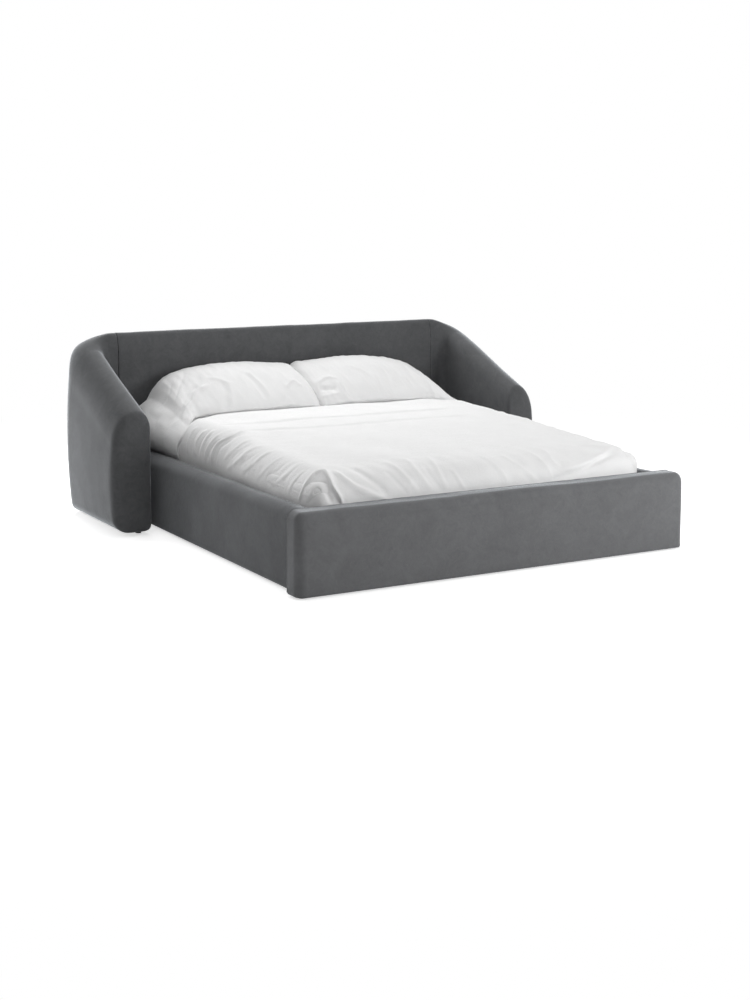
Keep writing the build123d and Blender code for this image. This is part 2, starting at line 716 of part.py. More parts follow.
def centre_beam():
    """Steel box beam down the middle of the bed."""
    half = BEAM_WIDTH / 2
    outer = block(-half, half, SADDLE_Y_FOOT + FIT, SADDLE_Y_HEAD - FIT, LEG_TOP, LEDGER_TOP)
    bore = block(
        -half + BEAM_WALL, half - BEAM_WALL, SADDLE_Y_FOOT, SADDLE_Y_HEAD,
        LEG_TOP + BEAM_WALL, LEDGER_TOP - BEAM_WALL,
    )
    return outer - bore


def saddle(face, way):
    """Steel saddle on a board's face that carries one end of the centre beam."""
    inner = BEAM_WIDTH / 2 + FIT
    outer = inner + HOOK_PLATE
    reach = way * (FOOTBOARD_BACK_LINING + HOOK_PLATE)
    y0, y1 = sorted((face, face - reach))
    p0, p1 = sorted((face, face - way * HOOK_PLATE))
    body = block(-outer, outer, y0, y1, LEG_TOP - HOOK_PLATE, LEDGER_TOP - HOOK_PLATE)
    room = block(-inner, inner, y0 - 1, y1 + 1, LEG_TOP, LEDGER_TOP)
    plate = block(-outer, outer, p0, p1, LEG_TOP - HOOK_PLATE, LEDGER_TOP - HOOK_PLATE)
    return (body - room) + plate


def leg_stations():
    """Middles of the centre legs along the bed."""
    pitch = INNER_LENGTH / (LEG_COUNT + 1)
    return [FOOT_BACK_Y + pitch * (index + 1) for index in range(LEG_COUNT)]


def centre_leg(y):
    """Tube leg with a top plate under the centre beam."""
    half = BEAM_WIDTH / 2
    plate = block(-half, half, y - half, y + half, LEG_TOP - LEG_PLATE, LEG_TOP)
    tube = rod(0, y, LEG_BOTTOM, LEG_TOP - LEG_PLATE, LEG_DIAMETER / 2)
    bore = rod(0, y, LEG_BOTTOM, LEG_TOP - LEG_PLATE, LEG_DIAMETER / 2 - LEG_WALL)
    return plate + (tube - bore)


def leg_insert(y):
    """Plastic end plug of a leg, with the hole for the levelling foot's stud."""
    flange = rod(0, y, LEG_BOTTOM - INSERT_FLANGE, LEG_BOTTOM, LEG_DIAMETER / 2)
    plug = rod(0, y, LEG_BOTTOM, LEG_BOTTOM + LEG_DIAMETER / 2, LEG_DIAMETER / 2 - LEG_WALL)
    hole = rod(
        0, y, LEG_BOTTOM - INSERT_FLANGE - 1, LEG_BOTTOM + LEG_DIAMETER,
        STUD_DIAMETER / 2 + STUD_CLEARANCE,
    )
    return flange + plug - hole


def levelling_foot(y):
    """Foot disc with its stud, standing on the floor under a leg."""
    disc = rod(0, y, 0, FOOT_DISC_HEIGHT, FOOT_DISC_DIAMETER / 2)
    disc = fillet(disc.edges().group_by(Axis.Z)[-1], FOOT_DISC_HEIGHT / 3)
    return disc + rod(0, y, FOOT_DISC_HEIGHT, STUD_LENGTH, STUD_DIAMETER / 2)


def glide(x, y):
    """Plastic glide pin under one of the timber pieces."""
    return rod(x, y, 0, FRAME_BOTTOM, GLIDE_DIAMETER / 2)


def glides():
    """All glides: under the footboard, the rails, the headboard and the wings."""
    board_y = FOOT_BOARD_Y - BOARD_THICKNESS / 2
    post_y = (POST_FRONT_Y + POST_BACK_Y) / 2
    end_x = FOOTBOARD_HALF - FOOTBOARD_BOARD_INSET - GLIDE_DIAMETER
    wing_x = (WING_FRAME_INNER + WING_FRAME_OUTER) / 2
    places = []
    for side in (-1, 1):
        places.append((side * end_x, board_y))
        places.append((side * end_x / 3, board_y))
        places.append((side * BOARD_MID, FOOT_BACK_Y + INNER_LENGTH / 3))
        places.append((side * BOARD_MID, FOOT_BACK_Y + INNER_LENGTH * 2 / 3))
        places.append((side * BOARD_MID / 3, post_y))
        places.append((side * (CROSS_RAIL_HALF - GLIDE_DIAMETER), post_y))
        places.append((side * wing_x, WING_FRONT_Y + WING_FRONT_FOAM + GLIDE_DIAMETER))
    return [glide(x, y) for x, y in places]


# ---------------------------------------------------------------- mattress and bedding
def mattress_form(grow):
    """The mattress's rounded block, grown on every side."""
    half = MATTRESS_WIDTH / 2 + grow
    form = block(
        -half, half, MATTRESS_FOOT_Y - grow, MATTRESS_HEAD_Y + grow,
        MATTRESS_BOTTOM - grow, MATTRESS_TOP + grow,
    )
    form = fillet(form.edges().filter_by(Axis.Z), MATTRESS_CORNER + grow)
    return fillet(form.faces().filter_by(Axis.Z).edges(), MATTRESS_EDGE + grow)


def fitted_sheet():
    """Cotton sheet over the mattress's top and sides, open underneath."""
    cloth = mattress_form(SOFT_CLEARANCE + SHEET) - mattress_form(SOFT_CLEARANCE)
    half = MATTRESS_WIDTH
    under = block(
        -half, half, MATTRESS_FOOT_Y - half, MATTRESS_HEAD_Y + half,
        0, MATTRESS_BOTTOM + MATTRESS_EDGE,
    )
    return cloth - under


def coverlet():
    """Coverlet over the mattress, tucked down beside it on three sides."""
    half = INNER_HALF - 2 * SOFT_CLEARANCE
    foot = COVERLET_FOOT_Y
    head = COVERLET_HEAD_Y
    outline = [
        (foot, COVERLET_HEM), (head, COVERLET_HEM), (head, COVERLET_HEAD_TOP),
        (foot, COVERLET_FOOT_TOP),
    ]
    form = side_prism(outline, -half, half)
    corners = form.edges().filter_by(Axis.Z).group_by(Axis.Y)[0]
    form = fillet(corners, COVERLET_SHOULDER + SIDE_ROOM)
    top = form.faces().sort_by(Axis.Z)[-1]
    ridges = top.edges().sort_by(Axis.Y)[:-1]
    form = fillet(ridges, COVERLET_SHOULDER)
    return form - mattress_form(SOFT_CLEARANCE * 2 + SHEET)


def pillow_wire(x, fullness):
    """An upright section of a pillow that leans on the headboard."""
    floor = SHEET_TOP + SOFT_CLEARANCE
    back = PILLOW_BACK_Y
    front = back - PILLOW_DEPTH * (0.9 + 0.1 * fullness)
    depth = back - front
    rise = PILLOW_HEIGHT * fullness
    lip = (front, floor + rise * 0.10)
    shoulder = (back, floor + rise * 0.62)
    return Plane(origin=(x, 0, 0), x_dir=(0, 1, 0), z_dir=(1, 0, 0)) * Wire([
        Line((front + depth * 0.06, floor), (back - depth * 0.06, floor)),
        Spline(
            (back - depth * 0.06, floor), (back, floor + rise * 0.12), shoulder,
            tangents=((1, 0), (0, 1)),
        ),
        Spline(
            shoulder, (back - depth * 0.16, floor + rise),
            (front + depth * 0.34, floor + rise * 0.78), lip,
            tangents=((0, 1), (-0.35, -1)),
        ),
        Spline(lip, (front + depth * 0.06, floor), tangents=((0, -1), (1, 0))),
    ])


def pillow():
    """The right-hand pillow, plumped and leaning on the headboard."""
    inner = PILLOW_END_MARGIN / 2
    outer = INNER_HALF - PILLOW_END_MARGIN
    width = outer - inner
    sections = []
    for share, fullness in (
        (0.0, 0.66), (0.08, 0.88), (0.3, 1.0), (0.6, 1.0), (0.82, 0.88), (0.94, 0.62), (1.0, 0.36)
    ):
        sections.append(pillow_wire(inner + width * share, fullness))
    return Solid.make_loft(sections)


# ---------------------------------------------------------------- write every piece
def build():
    """Write all pieces of the bed to the parts folder."""
    os.makedirs("parts", exist_ok=True)
    save("footboard_board", footboard_board())
    save("footboard_pad", footboard_pad())
    save("footboard_welt", welt(WELT_RADIUS))
    save_pair("rail_board", rail_board())
    save_pair("rail_pad", rail_pad())
    save_pair("ledger", ledger())
    save("rail_hook_plates", at_four_joints(hook_plate))
    save("keeper_plates", at_four_joints(keeper_plate))
    save("headboard_pad", headboard_pad())
    save("headboard_panel", headboard_panel())
    save("headboard_posts", headboard_posts())
    save("headboard_cross_rails", headboard_cross_rails())
    save("rear_cover", rear_cover())
    save_pair("wing_pad", wing_pad())
    save_pair("wing_frame", wing_frame())
    save_pair("wing_sheets", wing_sheets())
    save_pair("slats", [slat(y) for y in slat_stations()])
    save_pair("slat_holders", [outer_holder(y) for y in slat_stations()])
    save("centre_holders", [centre_holder(y) for y in slat_stations()])
    save("centre_beam", centre_beam())
    save("beam_saddles", [saddle(FOOT_BOARD_Y, -1), saddle(PANEL_FRONT_Y, 1)])
    save("centre_legs", [centre_leg(y) for y in leg_stations()])
    save("leg_inserts", [leg_insert(y) for y in leg_stations()])
    for name, y in zip(("foot", "middle", "head"), leg_stations()):
        save(f"{name}_levelling_foot", levelling_foot(y))
    save("glides", glides())
    save("mattress", mattress_form(0))
    save("fitted_sheet", fitted_sheet())
    save("coverlet", coverlet())
    save_pair("pillow", pillow())


build()
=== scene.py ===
import math

import bmesh
import bpy
import numpy as np
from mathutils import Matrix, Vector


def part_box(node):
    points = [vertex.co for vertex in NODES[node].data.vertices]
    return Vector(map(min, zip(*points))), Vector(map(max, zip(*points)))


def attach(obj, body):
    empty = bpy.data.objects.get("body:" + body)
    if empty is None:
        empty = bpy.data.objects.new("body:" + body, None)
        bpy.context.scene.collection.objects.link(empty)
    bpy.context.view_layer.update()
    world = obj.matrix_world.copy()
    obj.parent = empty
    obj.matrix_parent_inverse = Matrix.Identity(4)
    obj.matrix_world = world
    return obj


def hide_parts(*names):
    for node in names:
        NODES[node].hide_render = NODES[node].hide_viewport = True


# The looks of an upholstered sleigh bed, in metres, in the frame's own axes:
# +X is right as seen from the foot end, +Y runs to the head and +Z is up.

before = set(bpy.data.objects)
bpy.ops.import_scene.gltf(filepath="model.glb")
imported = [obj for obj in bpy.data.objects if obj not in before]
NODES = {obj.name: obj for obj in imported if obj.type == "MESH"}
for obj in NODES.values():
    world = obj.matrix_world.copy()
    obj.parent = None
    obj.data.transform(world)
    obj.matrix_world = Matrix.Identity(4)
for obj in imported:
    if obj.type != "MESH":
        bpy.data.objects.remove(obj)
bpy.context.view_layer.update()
QUARTER = math.pi / 2


def corners(node):
    """Lowest and highest corner of a CAD node, as arrays."""
    low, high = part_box(node)
    return np.array(low), np.array(high)


# ---------------------------------------------------------------- sizes from the frame
HEAD_LOW, HEAD_HIGH = corners("headboard_pad")
FOOT_LOW, FOOT_HIGH = corners("footboard_pad")
RAIL_LOW, RAIL_HIGH = corners("right_rail_pad")
WING_LOW, _ = corners("right_wing_pad")
COVER_LOW, COVER_HIGH = corners("rear_cover")
PANEL_LOW, _ = corners("headboard_panel")
BOARD_LOW, BOARD_HIGH = corners("right_rail_board")
WELT_LOW, WELT_HIGH = corners("footboard_welt")
MATTRESS_LOW, MATTRESS_HIGH = corners("mattress")
SHEET_LOW, SHEET_HIGH = corners("fitted_sheet")
COVERLET_LOW, COVERLET_HIGH = corners("coverlet")
PILLOW_LOW, _ = corners("right_pillow")
_, SLAT_HIGH = corners("right_slats")

WALL_FLOOR = HEAD_LOW[2]
FLOOR_GAP = FOOT_LOW[2]
HEAD_FACE = HEAD_LOW[1]
BACK = HEAD_HIGH[1]
CROWN = HEAD_HIGH[2]
SEAM = (HEAD_HIGH[0] + WING_LOW[0]) / 2
RAIL_INNER = RAIL_LOW[0]
RAIL_OUTER = RAIL_HIGH[0]
RAIL_TOP = RAIL_HIGH[2]
WING_FRONT = WING_LOW[1]

# ---------------------------------------------------------------- sizes of the upholstery
SEAM_GAP = 0.001
SEAM_ROUND = 0.005
WING_TO_RAIL = 0.075
WING_THICKNESS = 0.196
WING_SLOPE = math.radians(22.5)
CROWN_LEVEL = 0.070
CROWN_EASE = 0.050
WING_OUTER_CORNER = 0.205
WING_INNER_CORNER = 0.050
WING_FRONT_BULGE = 0.008
WING_FACE_CROWN = 0.005
WING_CORNER_BULGE = 0.022
# Crest's share of the thickness, heights of the inner and outer rolls, toe and heel roundings
WING_SHAPE = np.array((0.30, 0.085, 0.195, 0.030, 0.075))
HEAD_SHAPE = np.array((0.33, 0.105, 0.065, 0.012, 0.012))
WING_INNER = RAIL_OUTER + WING_TO_RAIL
WING_OUTER = WING_INNER + WING_THICKNESS
EDGE_FACING = {"inner": 0.018, "outer": 0.070, "foot": 0.030, "top": 0.034}
RAIL_OUTER_ROUND = 0.055
RAIL_INNER_ROUND = 0.038
FOOT_HALF = FOOT_HIGH[0] + 0.008
FOOT_CORNER = 0.040
FOOT_FACING = {"end": 0.050, "foot": 0.016, "top": 0.046}
FOOT_FACE_CROWN = 0.011
FOOT_BACK_EDGE = 0.006
FOOT_UNDER_CORNER = 0.012
UNDERSIDE_EASE = 0.03
FRAME_CLEAR = 0.001
BOARD_CLEAR = 0.0008
RAIL_END_ROUND = 0.0015


# ---------------------------------------------------------------- mesh helpers
def piece(name, points, faces, body, slot_name, material):
    """A smooth-shaded mesh that rides on a body and takes one slot's finish."""
    mesh = bpy.data.meshes.new(name)
    mesh.from_pydata(points.tolist(), [], faces)
    work = bmesh.new()
    work.from_mesh(mesh)
    bmesh.ops.remove_doubles(work, verts=work.verts, dist=1e-6)
    bmesh.ops.recalc_face_normals(work, faces=work.faces)
    work.to_mesh(mesh)
    work.free()
    mesh.polygons.foreach_set("use_smooth", [True] * len(mesh.polygons))
    mesh.set_sharp_from_angle(angle=math.radians(50))
    mesh.materials.append(material)
    made = bpy.data.objects.new(name, mesh)
    bpy.context.scene.collection.objects.link(made)
    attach(made, body)
    return made


def push_out(made, rise):
    """Moves each vertex of an object along its normal by rise(places, normals)."""
    values = []
    for key in ("co", "normal"):
        flat = np.empty(len(made.data.vertices) * 3)
        made.data.vertices.foreach_get(key, flat)
        values.append(flat.reshape(-1, 3))
    points, facing = values
    moved = points + facing * rise(points, facing)[:, None]
    made.data.vertices.foreach_set("co", moved.ravel())
    made.data.update()


def ring_faces(rows, columns):
    """Quads between neighbouring closed rings of points."""
    faces = []
    for a in range(0, (rows - 1) * columns, columns):
        b = a + columns
        for column in range(columns):
            after = (column + 1) % columns
            faces.append((a + column, a + after, b + after, b + column))
    return faces


def grid_faces(rows, columns, start=0):
    """Quads of an open grid of points."""
    faces = []
    for a in range(start, start + (rows - 1) * columns, columns):
        for here in range(a, a + columns - 1):
            faces.append((here, here + 1, here + columns + 1, here + columns))
    return faces


def closed_rings(rings):
    """Points and faces of a skin through closed rings, with both ends filled."""
    rows, columns = len(rings), len(rings[0])
    ends = [tuple(range(columns)), tuple(range((rows - 1) * columns, rows * columns))]
    return np.concatenate(rings), ring_faces(rows, columns) + ends


def smooth_step(value):
    """0 below 0, 1 above 1 and an even curve between."""
    share = np.clip(value, 0.0, 1.0)
    return share * share * (3 - 2 * share)


def unit(vector):
    """A vector of length 1."""
    return vector / np.linalg.norm(vector)


def waves(points, wavelength, seed, count=14, stretch=(1, 1, 1)):
    """A smooth random field of about unit size, a sum of plane waves."""
    draw = np.random.default_rng(seed)
    total = np.zeros(len(points))
    for _ in range(count):
        way = unit(draw.normal(size=3)) / np.array(stretch)
        length = wavelength * draw.uniform(0.7, 1.5)
        total += np.sin(points @ way * (2 * math.pi / length) + draw.uniform(0, 2 * math.pi))
    return total / math.sqrt(count / 2)


def upholstery(name, skin, node, material, unevenness, seed, keep=None):
    """A velvet pad of the bedstead in place of a CAD node, uneven as foam under cloth is.

    The unevenness is pairs of wavelength and height; keep(points) is the share that stays.
    """
    made = piece(name, *skin, "bedstead", "velvet", material)

    def rise(points, _):
        total = np.zeros(len(points))
        for number, (wavelength, height) in enumerate(unevenness):
            total += height * waves(points, wavelength, seed + number)
        return total * keep(points) if keep else total

    push_out(made, rise)
    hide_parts(node)


def outward(outline):
    """Unit normals of a closed outline whose points run anticlockwise."""
    along = np.roll(outline, -1, axis=0) - np.roll(outline, 1, axis=0)
    across = np.stack([along[:, 1], -along[:, 0]], axis=1)
    return across / np.maximum(np.linalg.norm(across, axis=1), 1e-9)[:, None]


def rounded_outline(shape, spacing):
    """Points round a closed outline given by (a, b, corner radius) points, anticlockwise."""
    runs = []
    for index, (a, b, radius) in enumerate(shape):
        here = np.array((a, b))
        if radius <= 0:
            runs.append(here[None, :])
            continue
        before = unit(np.array(shape[index - 1][:2]) - here)
        after = unit(np.array(shape[(index + 1) % len(shape)][:2]) - here)
        half = math.acos(np.clip(before @ after, -1, 1)) / 2
        centre = here + unit(before + after) * radius / math.sin(half)
        start = here + before * radius / math.tan(half) - centre
        end = here + after * radius / math.tan(half) - centre
        turn = math.pi - 2 * half
        steps = max(3, math.ceil(turn * radius / min(spacing, radius / 2.5)))
        share = np.linspace(0, 1, steps + 1)[:, None]
        arc = (np.sin((1 - share) * turn) * start + np.sin(share * turn) * end) / math.sin(turn)
        runs.append(centre + arc)
    points = []
    for run, following in zip(runs, runs[1:] + runs[:1]):
        way = following[0] - run[-1]
        steps = max(1, math.ceil(np.linalg.norm(way) / spacing))
        points += [run, run[-1] + way * np.linspace(0, 1, steps + 1)[1:-1, None]]
    return np.concatenate(points)


def box_outline(low, high, radii, spacing):
    """A rectangle's outline between two corners, with a rounding for each corner in turn."""
    places = ((low[0], low[1]), (high[0], low[1]), (high[0], high[1]), (low[0], high[1]))
    return rounded_outline([(*at, radius) for at, radius in zip(places, radii)], spacing)


def facing_radius(outline, left, right, down, up):
    """Edge radius of each outline point, by the way that it faces."""
    a, b = outward(outline).T
    return np.where(a > 0, right, left) * a * a + np.where(b > 0, up, down) * b * b


def quarter(steps, start=0, stop=90):
    """How far in and how deep a unit rounding lies, at each step of a quarter turn in degrees."""
    turns = np.radians(np.linspace(start, stop, steps))
    return [(1 - math.sin(turn), 1 - math.cos(turn)) for turn in turns]


def along_x(shape, station):
    """Section points (y, z) at one station in x, or at one for each point."""
    return np.column_stack([np.broadcast_to(station, len(shape)), shape])


def along_y(shape, station):
    """Section points (x, z) at one station in y, or at one for each point."""
    return np.column_stack([shape[:, 0], np.broadcast_to(station, len(shape)), shape[:, 1]])


def face_rings(edge, steps, crown=0.0):
    """Rings that fill an upright face from its edge to its middle line, crowned towards -Y."""
    outline, y = edge[:, [0, 2]], edge[0, 1]
    low, high = outline.min(axis=0), outline.max(axis=0)
    half = (high - low).min() / 2
    middle = np.clip(outline, low + half, high - half)
    return [
        along_y(middle + (outline - middle) * share, y - crown * (1 - share ** 2))
        for share in np.linspace(1, 0.02, steps)[1:]
    ]


def swept_pad(outline, start, stop, spacing, edge, to_space):
    """A pad's skin swept between two stations; edge is each outline point's rounding at both."""
    facing = outward(outline)
    first, last = [], []
    for inset, deep in quarter(9):
        shape = outline - facing * (edge * inset)[:, None]
        first.append(to_space(shape, start + edge * deep))
        last.append(to_space(shape, stop - edge * deep))
    low = start + edge.max() * 1.1 + spacing / 2
    high = stop - edge.max() * 1.1 - spacing / 2
    steps = max(2, math.ceil((high - low) / spacing))
    wall = [to_space(outline, station) for station in np.linspace(low, high, steps + 1)]
    return first + wall + last[::-1]


def mirrored(rings):
    """The same rings on the other side of the bed."""
    return [ring * np.array((-1, 1, 1)) for ring in rings]


def above_floor(points):
    """0 at the underside and 1 from a little way above it."""
    return smooth_step((points[:, 2] - FLOOR_GAP) / UNDERSIDE_EASE)


# ---------------------------------------------------------------- materials
class Finish:
    """Short ways to build the nodes of a material or of the world."""

    def __init__(self, owner):
        owner.use_nodes = True
        self.owner = owner
        self.tree = owner.node_tree
        self.shader = self.tree.nodes.get("Principled BSDF")

    def give(self, socket, value):
        """Joins a socket to another, or sets its number or its colour."""
        if isinstance(value, bpy.types.NodeSocket):
            self.tree.links.new(value, socket)
        elif socket.type == "RGBA":
            socket.default_value = (*value, 1.0)
        else:
            socket.default_value = value

    def add(self, kind, *values, **named):
        """A node; values fill its sockets in order, and names are those of sockets or settings."""
        node = self.tree.nodes.new("ShaderNode" + kind)
        for socket, value in zip(node.inputs, values):
            self.give(socket, value)
        for key, value in named.items():
            label = key.replace("_", " ")
            if label in node.inputs:
                self.give(node.inputs[label], value)
            else:
                setattr(node, key, value)
        return node

    def noise(self, scale, detail, roughness, distortion=0.0, stretch=(1, 1, 1)):
        """A noise texture's value in object coordinates, stretched along each axis."""
        source = self.add("TexCoord").outputs["Object"]
        place = self.add("Mapping", Vector=source, Scale=stretch).outputs["Vector"]
        return self.add(
            "TexNoise", Vector=place, Scale=scale, Detail=detail, Roughness=roughness,
            Distortion=distortion,
        ).outputs["Fac"]

    def ramp(self, value, *stops):
        """A colour ramp through stops, each a position and a colour or a grey."""
        node = self.add("ValToRGB", Fac=value)
        elements = node.color_ramp.elements
        while len(elements) < len(stops):
            elements.new(0.5)
        for element, (position, shade) in zip(elements, stops):
            element.position = position
            element.color = (*np.broadcast_to(shade, 3), 1.0)
        return node.outputs["Color"]

    def times(self, first, second):
        """The product of two colours."""
        node = self.add("Mix", data_type="RGBA", blend_type="MULTIPLY")
        for index, value in ((0, 1.0), (6, first), (7, second)):
            self.give(node.inputs[index], value)
        return node.outputs[2]

    def maths(self, operation, first, second):
        """A sum, product or other operation on two numbers."""
        return self.add("Math", first, second, operation=operation).outputs[0]

    def set(self, **values):
        """Gives values to the shader's sockets."""
        for key, value in values.items():
            self.give(self.shader.inputs[key.replace("_", " ")], value)

    def bumps(self, *layers):
        """Bumps of a height, distance and strength, one over another; the finished material."""
        under = None
        for height, distance, strength in layers:
            node = self.add("Bump", Height=height, Distance=distance, Strength=strength)
            if under:
                self.give(node.inputs["Normal"], under)
            under = node.outputs["Normal"]
        self.set(Normal=under)
        return self.owner


def velvet(name, dark, light):
    """Short-pile velvet: cloudy nap, brushed marks and a soft sheen."""
    made = Finish(bpy.data.materials.new(name))
    clouds = made.noise(7.0, 5.0, 0.66, 0.8)
    marks = made.noise(34.0, 5.0, 0.70, 1.2)
    pile = made.noise(620.0, 2.0, 0.6)
    nap = made.maths("ADD", made.maths("MULTIPLY", clouds, 0.55), made.maths("MULTIPLY", marks, 0.45))
    base = made.ramp(nap, (0.36, dark), (0.64, light))
    fibres = made.ramp(pile, (0.3, 0.88), (0.7, 1.12))
    made.set(
        Base_Color=made.times(base, fibres), Roughness=0.85, Specular_IOR_Level=0.12,
        Sheen_Weight=1.0, Sheen_Roughness=0.30, Sheen_Tint=(0.90, 0.94, 0.98),
    )
    return made.bumps((marks, 0.0020, 0.4), (pile, 0.0006, 0.6))


def woven_cloth(name, shade, thread=1.0, sheen=0.12):
    """Plain woven cloth: crossing threads with slubs and slight tone changes."""
    made = Finish(bpy.data.materials.new(name))
    strands = [
        made.noise(900.0 / thread, 1.0, 0.5, stretch=stretch)
        for stretch in ((0.06, 1, 1), (1, 0.06, 1), (1, 1, 0.06))
    ]
    threads = made.maths("ADD", made.maths("ADD", strands[0], strands[1]), strands[2])
    tone = made.noise(9.0, 3.0, 0.55)
    base = made.ramp(tone, (0.3, tuple(0.975 * c for c in shade)), (0.7, shade))
    weave = made.ramp(made.maths("MULTIPLY", threads, 0.3333), (0.35, 0.95), (0.65, 1.02))
    made.set(
        Base_Color=made.times(base, weave), Roughness=0.9, Specular_IOR_Level=0.2,
        Sheen_Weight=sheen, Sheen_Roughness=0.5,
    )
    return made.bumps((made.noise(26.0, 5.0, 0.62, 1.2), 0.004, 0.35), (threads, 0.0005, 0.5))


def wood(name, pale, dark, grain, along, gloss):
    """Planed wood with its grain along one axis: 0 is x, 1 is y and 2 is z."""
    made = Finish(bpy.data.materials.new(name))
    wide, fine = [grain] * 3, [grain * 6] * 3
    wide[along], fine[along] = grain * 0.05, grain * 0.2
    fibres = made.noise(1.0, 4.0, 0.7, stretch=fine)
    rings = made.noise(1.0, 3.0, 0.6, 1.6, wide)
    base = made.ramp(rings, (0.35, dark), (0.55, pale), (0.75, dark))
    streaks = made.ramp(fibres, (0.3, (0.86, 0.84, 0.8)), (0.7, (1.05, 1.04, 1.03)))
    made.set(
        Base_Color=made.times(base, streaks),
        Roughness=made.ramp(fibres, (0.2, gloss + 0.12), (0.8, gloss)),
    )
    return made.bumps((fibres, 0.0006, 0.4))


def moulded(name, shade, roughness):
    """Moulded plastic with a fine spark-eroded texture."""
    made = Finish(bpy.data.materials.new(name))
    grain = made.noise(1400.0, 2.0, 0.6)
    clouds = made.noise(18.0, 3.0, 0.5)
    made.set(
        Base_Color=made.ramp(clouds, (0.3, shade), (0.7, tuple(1.3 * c for c in shade))),
        Roughness=made.ramp(grain, (0.3, roughness), (0.7, roughness + 0.12)),
    )
    return made.bumps((grain, 0.0002, 0.5))


def metal(name, shade, roughness, coated):
    """Plated or powder-coated steel."""
    made = Finish(bpy.data.materials.new(name))
    brushed = made.noise(1.0, 3.0, 0.6, stretch=(300, 300, 24))
    grain = made.noise(900.0, 2.0, 0.5) if coated else brushed
    made.set(
        Base_Color=made.ramp(brushed, (0.3, tuple(0.86 * c for c in shade)), (0.7, shade)),
        Metallic=0.0 if coated else 1.0,
        Roughness=made.ramp(grain, (0.3, roughness), (0.7, roughness + 0.15)),
    )
    return made.bumps((grain, 0.0003 if coated else 0.0001, 0.4))


def both(*names):
    """The left and the right node of each name."""
    return [f"{side}_{name}" for name in names for side in ("left", "right")]


VELVET = velvet("velvet", (0.082, 0.084, 0.087), (0.110, 0.112, 0.116))
# A lighter copy of the same velvet for the footboard and its cord: painted light, standing in for the
# brighter light on the footboard's front and top
VELVET_PAINTED_LIGHTER = velvet("velvet_painted_lighter", (0.133, 0.135, 0.139), (0.163, 0.166, 0.171))
LINEN = woven_cloth("white_linen", (0.845, 0.845, 0.845))
TICKING = woven_cloth("mattress_ticking", (0.80, 0.80, 0.785), 1.6, 0.05)
PINE = ((0.60, 0.43, 0.25), (0.47, 0.31, 0.16), 26.0)
BLACK = (0.022, 0.022, 0.024)
LEVELLING_FEET = [f"{place}_levelling_foot" for place in ("foot", "middle", "head")]
RIGID_FINISHES = (
    (wood("timber", *PINE, 1, 0.55), both("rail_board", "ledger", "wing_frame")),
    (wood("timber_across", *PINE, 0, 0.55), ["footboard_board", "headboard_cross_rails"]),
    (wood("timber_upright", *PINE, 2, 0.55), ["headboard_posts"]),
    (
        wood("plywood", (0.62, 0.47, 0.30), (0.50, 0.36, 0.21), 18.0, 0, 0.5),
        ["headboard_panel"] + both("wing_sheets"),
    ),
    (wood("birch", (0.72, 0.56, 0.36), (0.60, 0.44, 0.26), 30.0, 0, 0.45), both("slats")),
    (moulded("holder_plastic", BLACK, 0.5), ["centre_holders", "leg_inserts"] + both("slat_holders")),
    (moulded("foot_plastic", BLACK, 0.45), ["glides"] + LEVELLING_FEET),
    (metal("plated_steel", (0.60, 0.61, 0.63), 0.3, False), ["rail_hook_plates", "keeper_plates"]),
    (
        metal("black_steel", (0.020, 0.020, 0.022), 0.42, True),
        ["centre_beam", "beam_saddles", "centre_legs"],
    ),
)
for finish, covered in RIGID_FINISHES:
    for node_name in covered:
        NODES[node_name].data.materials.clear()
        NODES[node_name].data.materials.append(finish)


# ---------------------------------------------------------------- wings
# Points along the underside, heel, outer side, outer roll, inner roll, inner side and toe
ARCH_COUNTS = (12, 14, 46, 36, 24, 60, 7)
ARCH_SMOOTHING = 6


def arch_outline(width, crown, shape, bulge):
    """Across and height of points round an upholstered wall's section, anticlockwise.

    The crown may be one height or one for each point.
    """
    crest_share, inner_roll, outer_roll, toe, heel = shape
    crown = np.broadcast_to(np.asarray(crown, float), sum(ARCH_COUNTS))
    tops = np.split(crown, np.cumsum(ARCH_COUNTS)[:-1])
    share = [np.arange(count) / count for count in ARCH_COUNTS]
    floor = WALL_FLOOR
    crest = crest_share * width
    heel_turn = QUARTER * (share[1] - 1)
    toe_turn = math.pi + QUARTER * share[6]
    outer_spring = tops[2] - outer_roll
    across = np.concatenate([
        toe + (width - heel - toe) * share[0],
        width - heel + heel * np.cos(heel_turn),
        width + 4 * bulge * share[2] * (1 - share[2]),
        crest + (width - crest) * np.cos(QUARTER * share[3]),
        crest - crest * np.sin(QUARTER * share[4]),
        np.zeros(ARCH_COUNTS[5]),
        toe + toe * np.cos(toe_turn),
    ])
    height = np.concatenate([
        np.full(ARCH_COUNTS[0], floor),
        floor + heel + heel * np.sin(heel_turn),
        floor + heel + (outer_spring - floor - heel) * share[2],
        tops[3] - outer_roll * (1 - np.sin(QUARTER * share[3])),
        tops[4] - inner_roll * (1 - np.cos(QUARTER * share[4])),
        tops[5] - inner_roll + (floor + toe - tops[5] + inner_roll) * share[5],
        floor + toe + toe * np.sin(toe_turn),
    ])
    outline = np.stack([across, height], axis=1)
    for _ in range(ARCH_SMOOTHING):
        outline = (np.roll(outline, 1, axis=0) + 2 * outline + np.roll(outline, -1, axis=0)) / 4
    return outline


def crown_height(path):
    """Height of the wall's crown at a distance from the seam: level, then falling."""
    past = path - CROWN_LEVEL
    fall = (np.hypot(past, CROWN_EASE) + past) / 2
    start = (math.hypot(CROWN_LEVEL, CROWN_EASE) - CROWN_LEVEL) / 2
    return CROWN - math.tan(WING_SLOPE) * (fall - start)


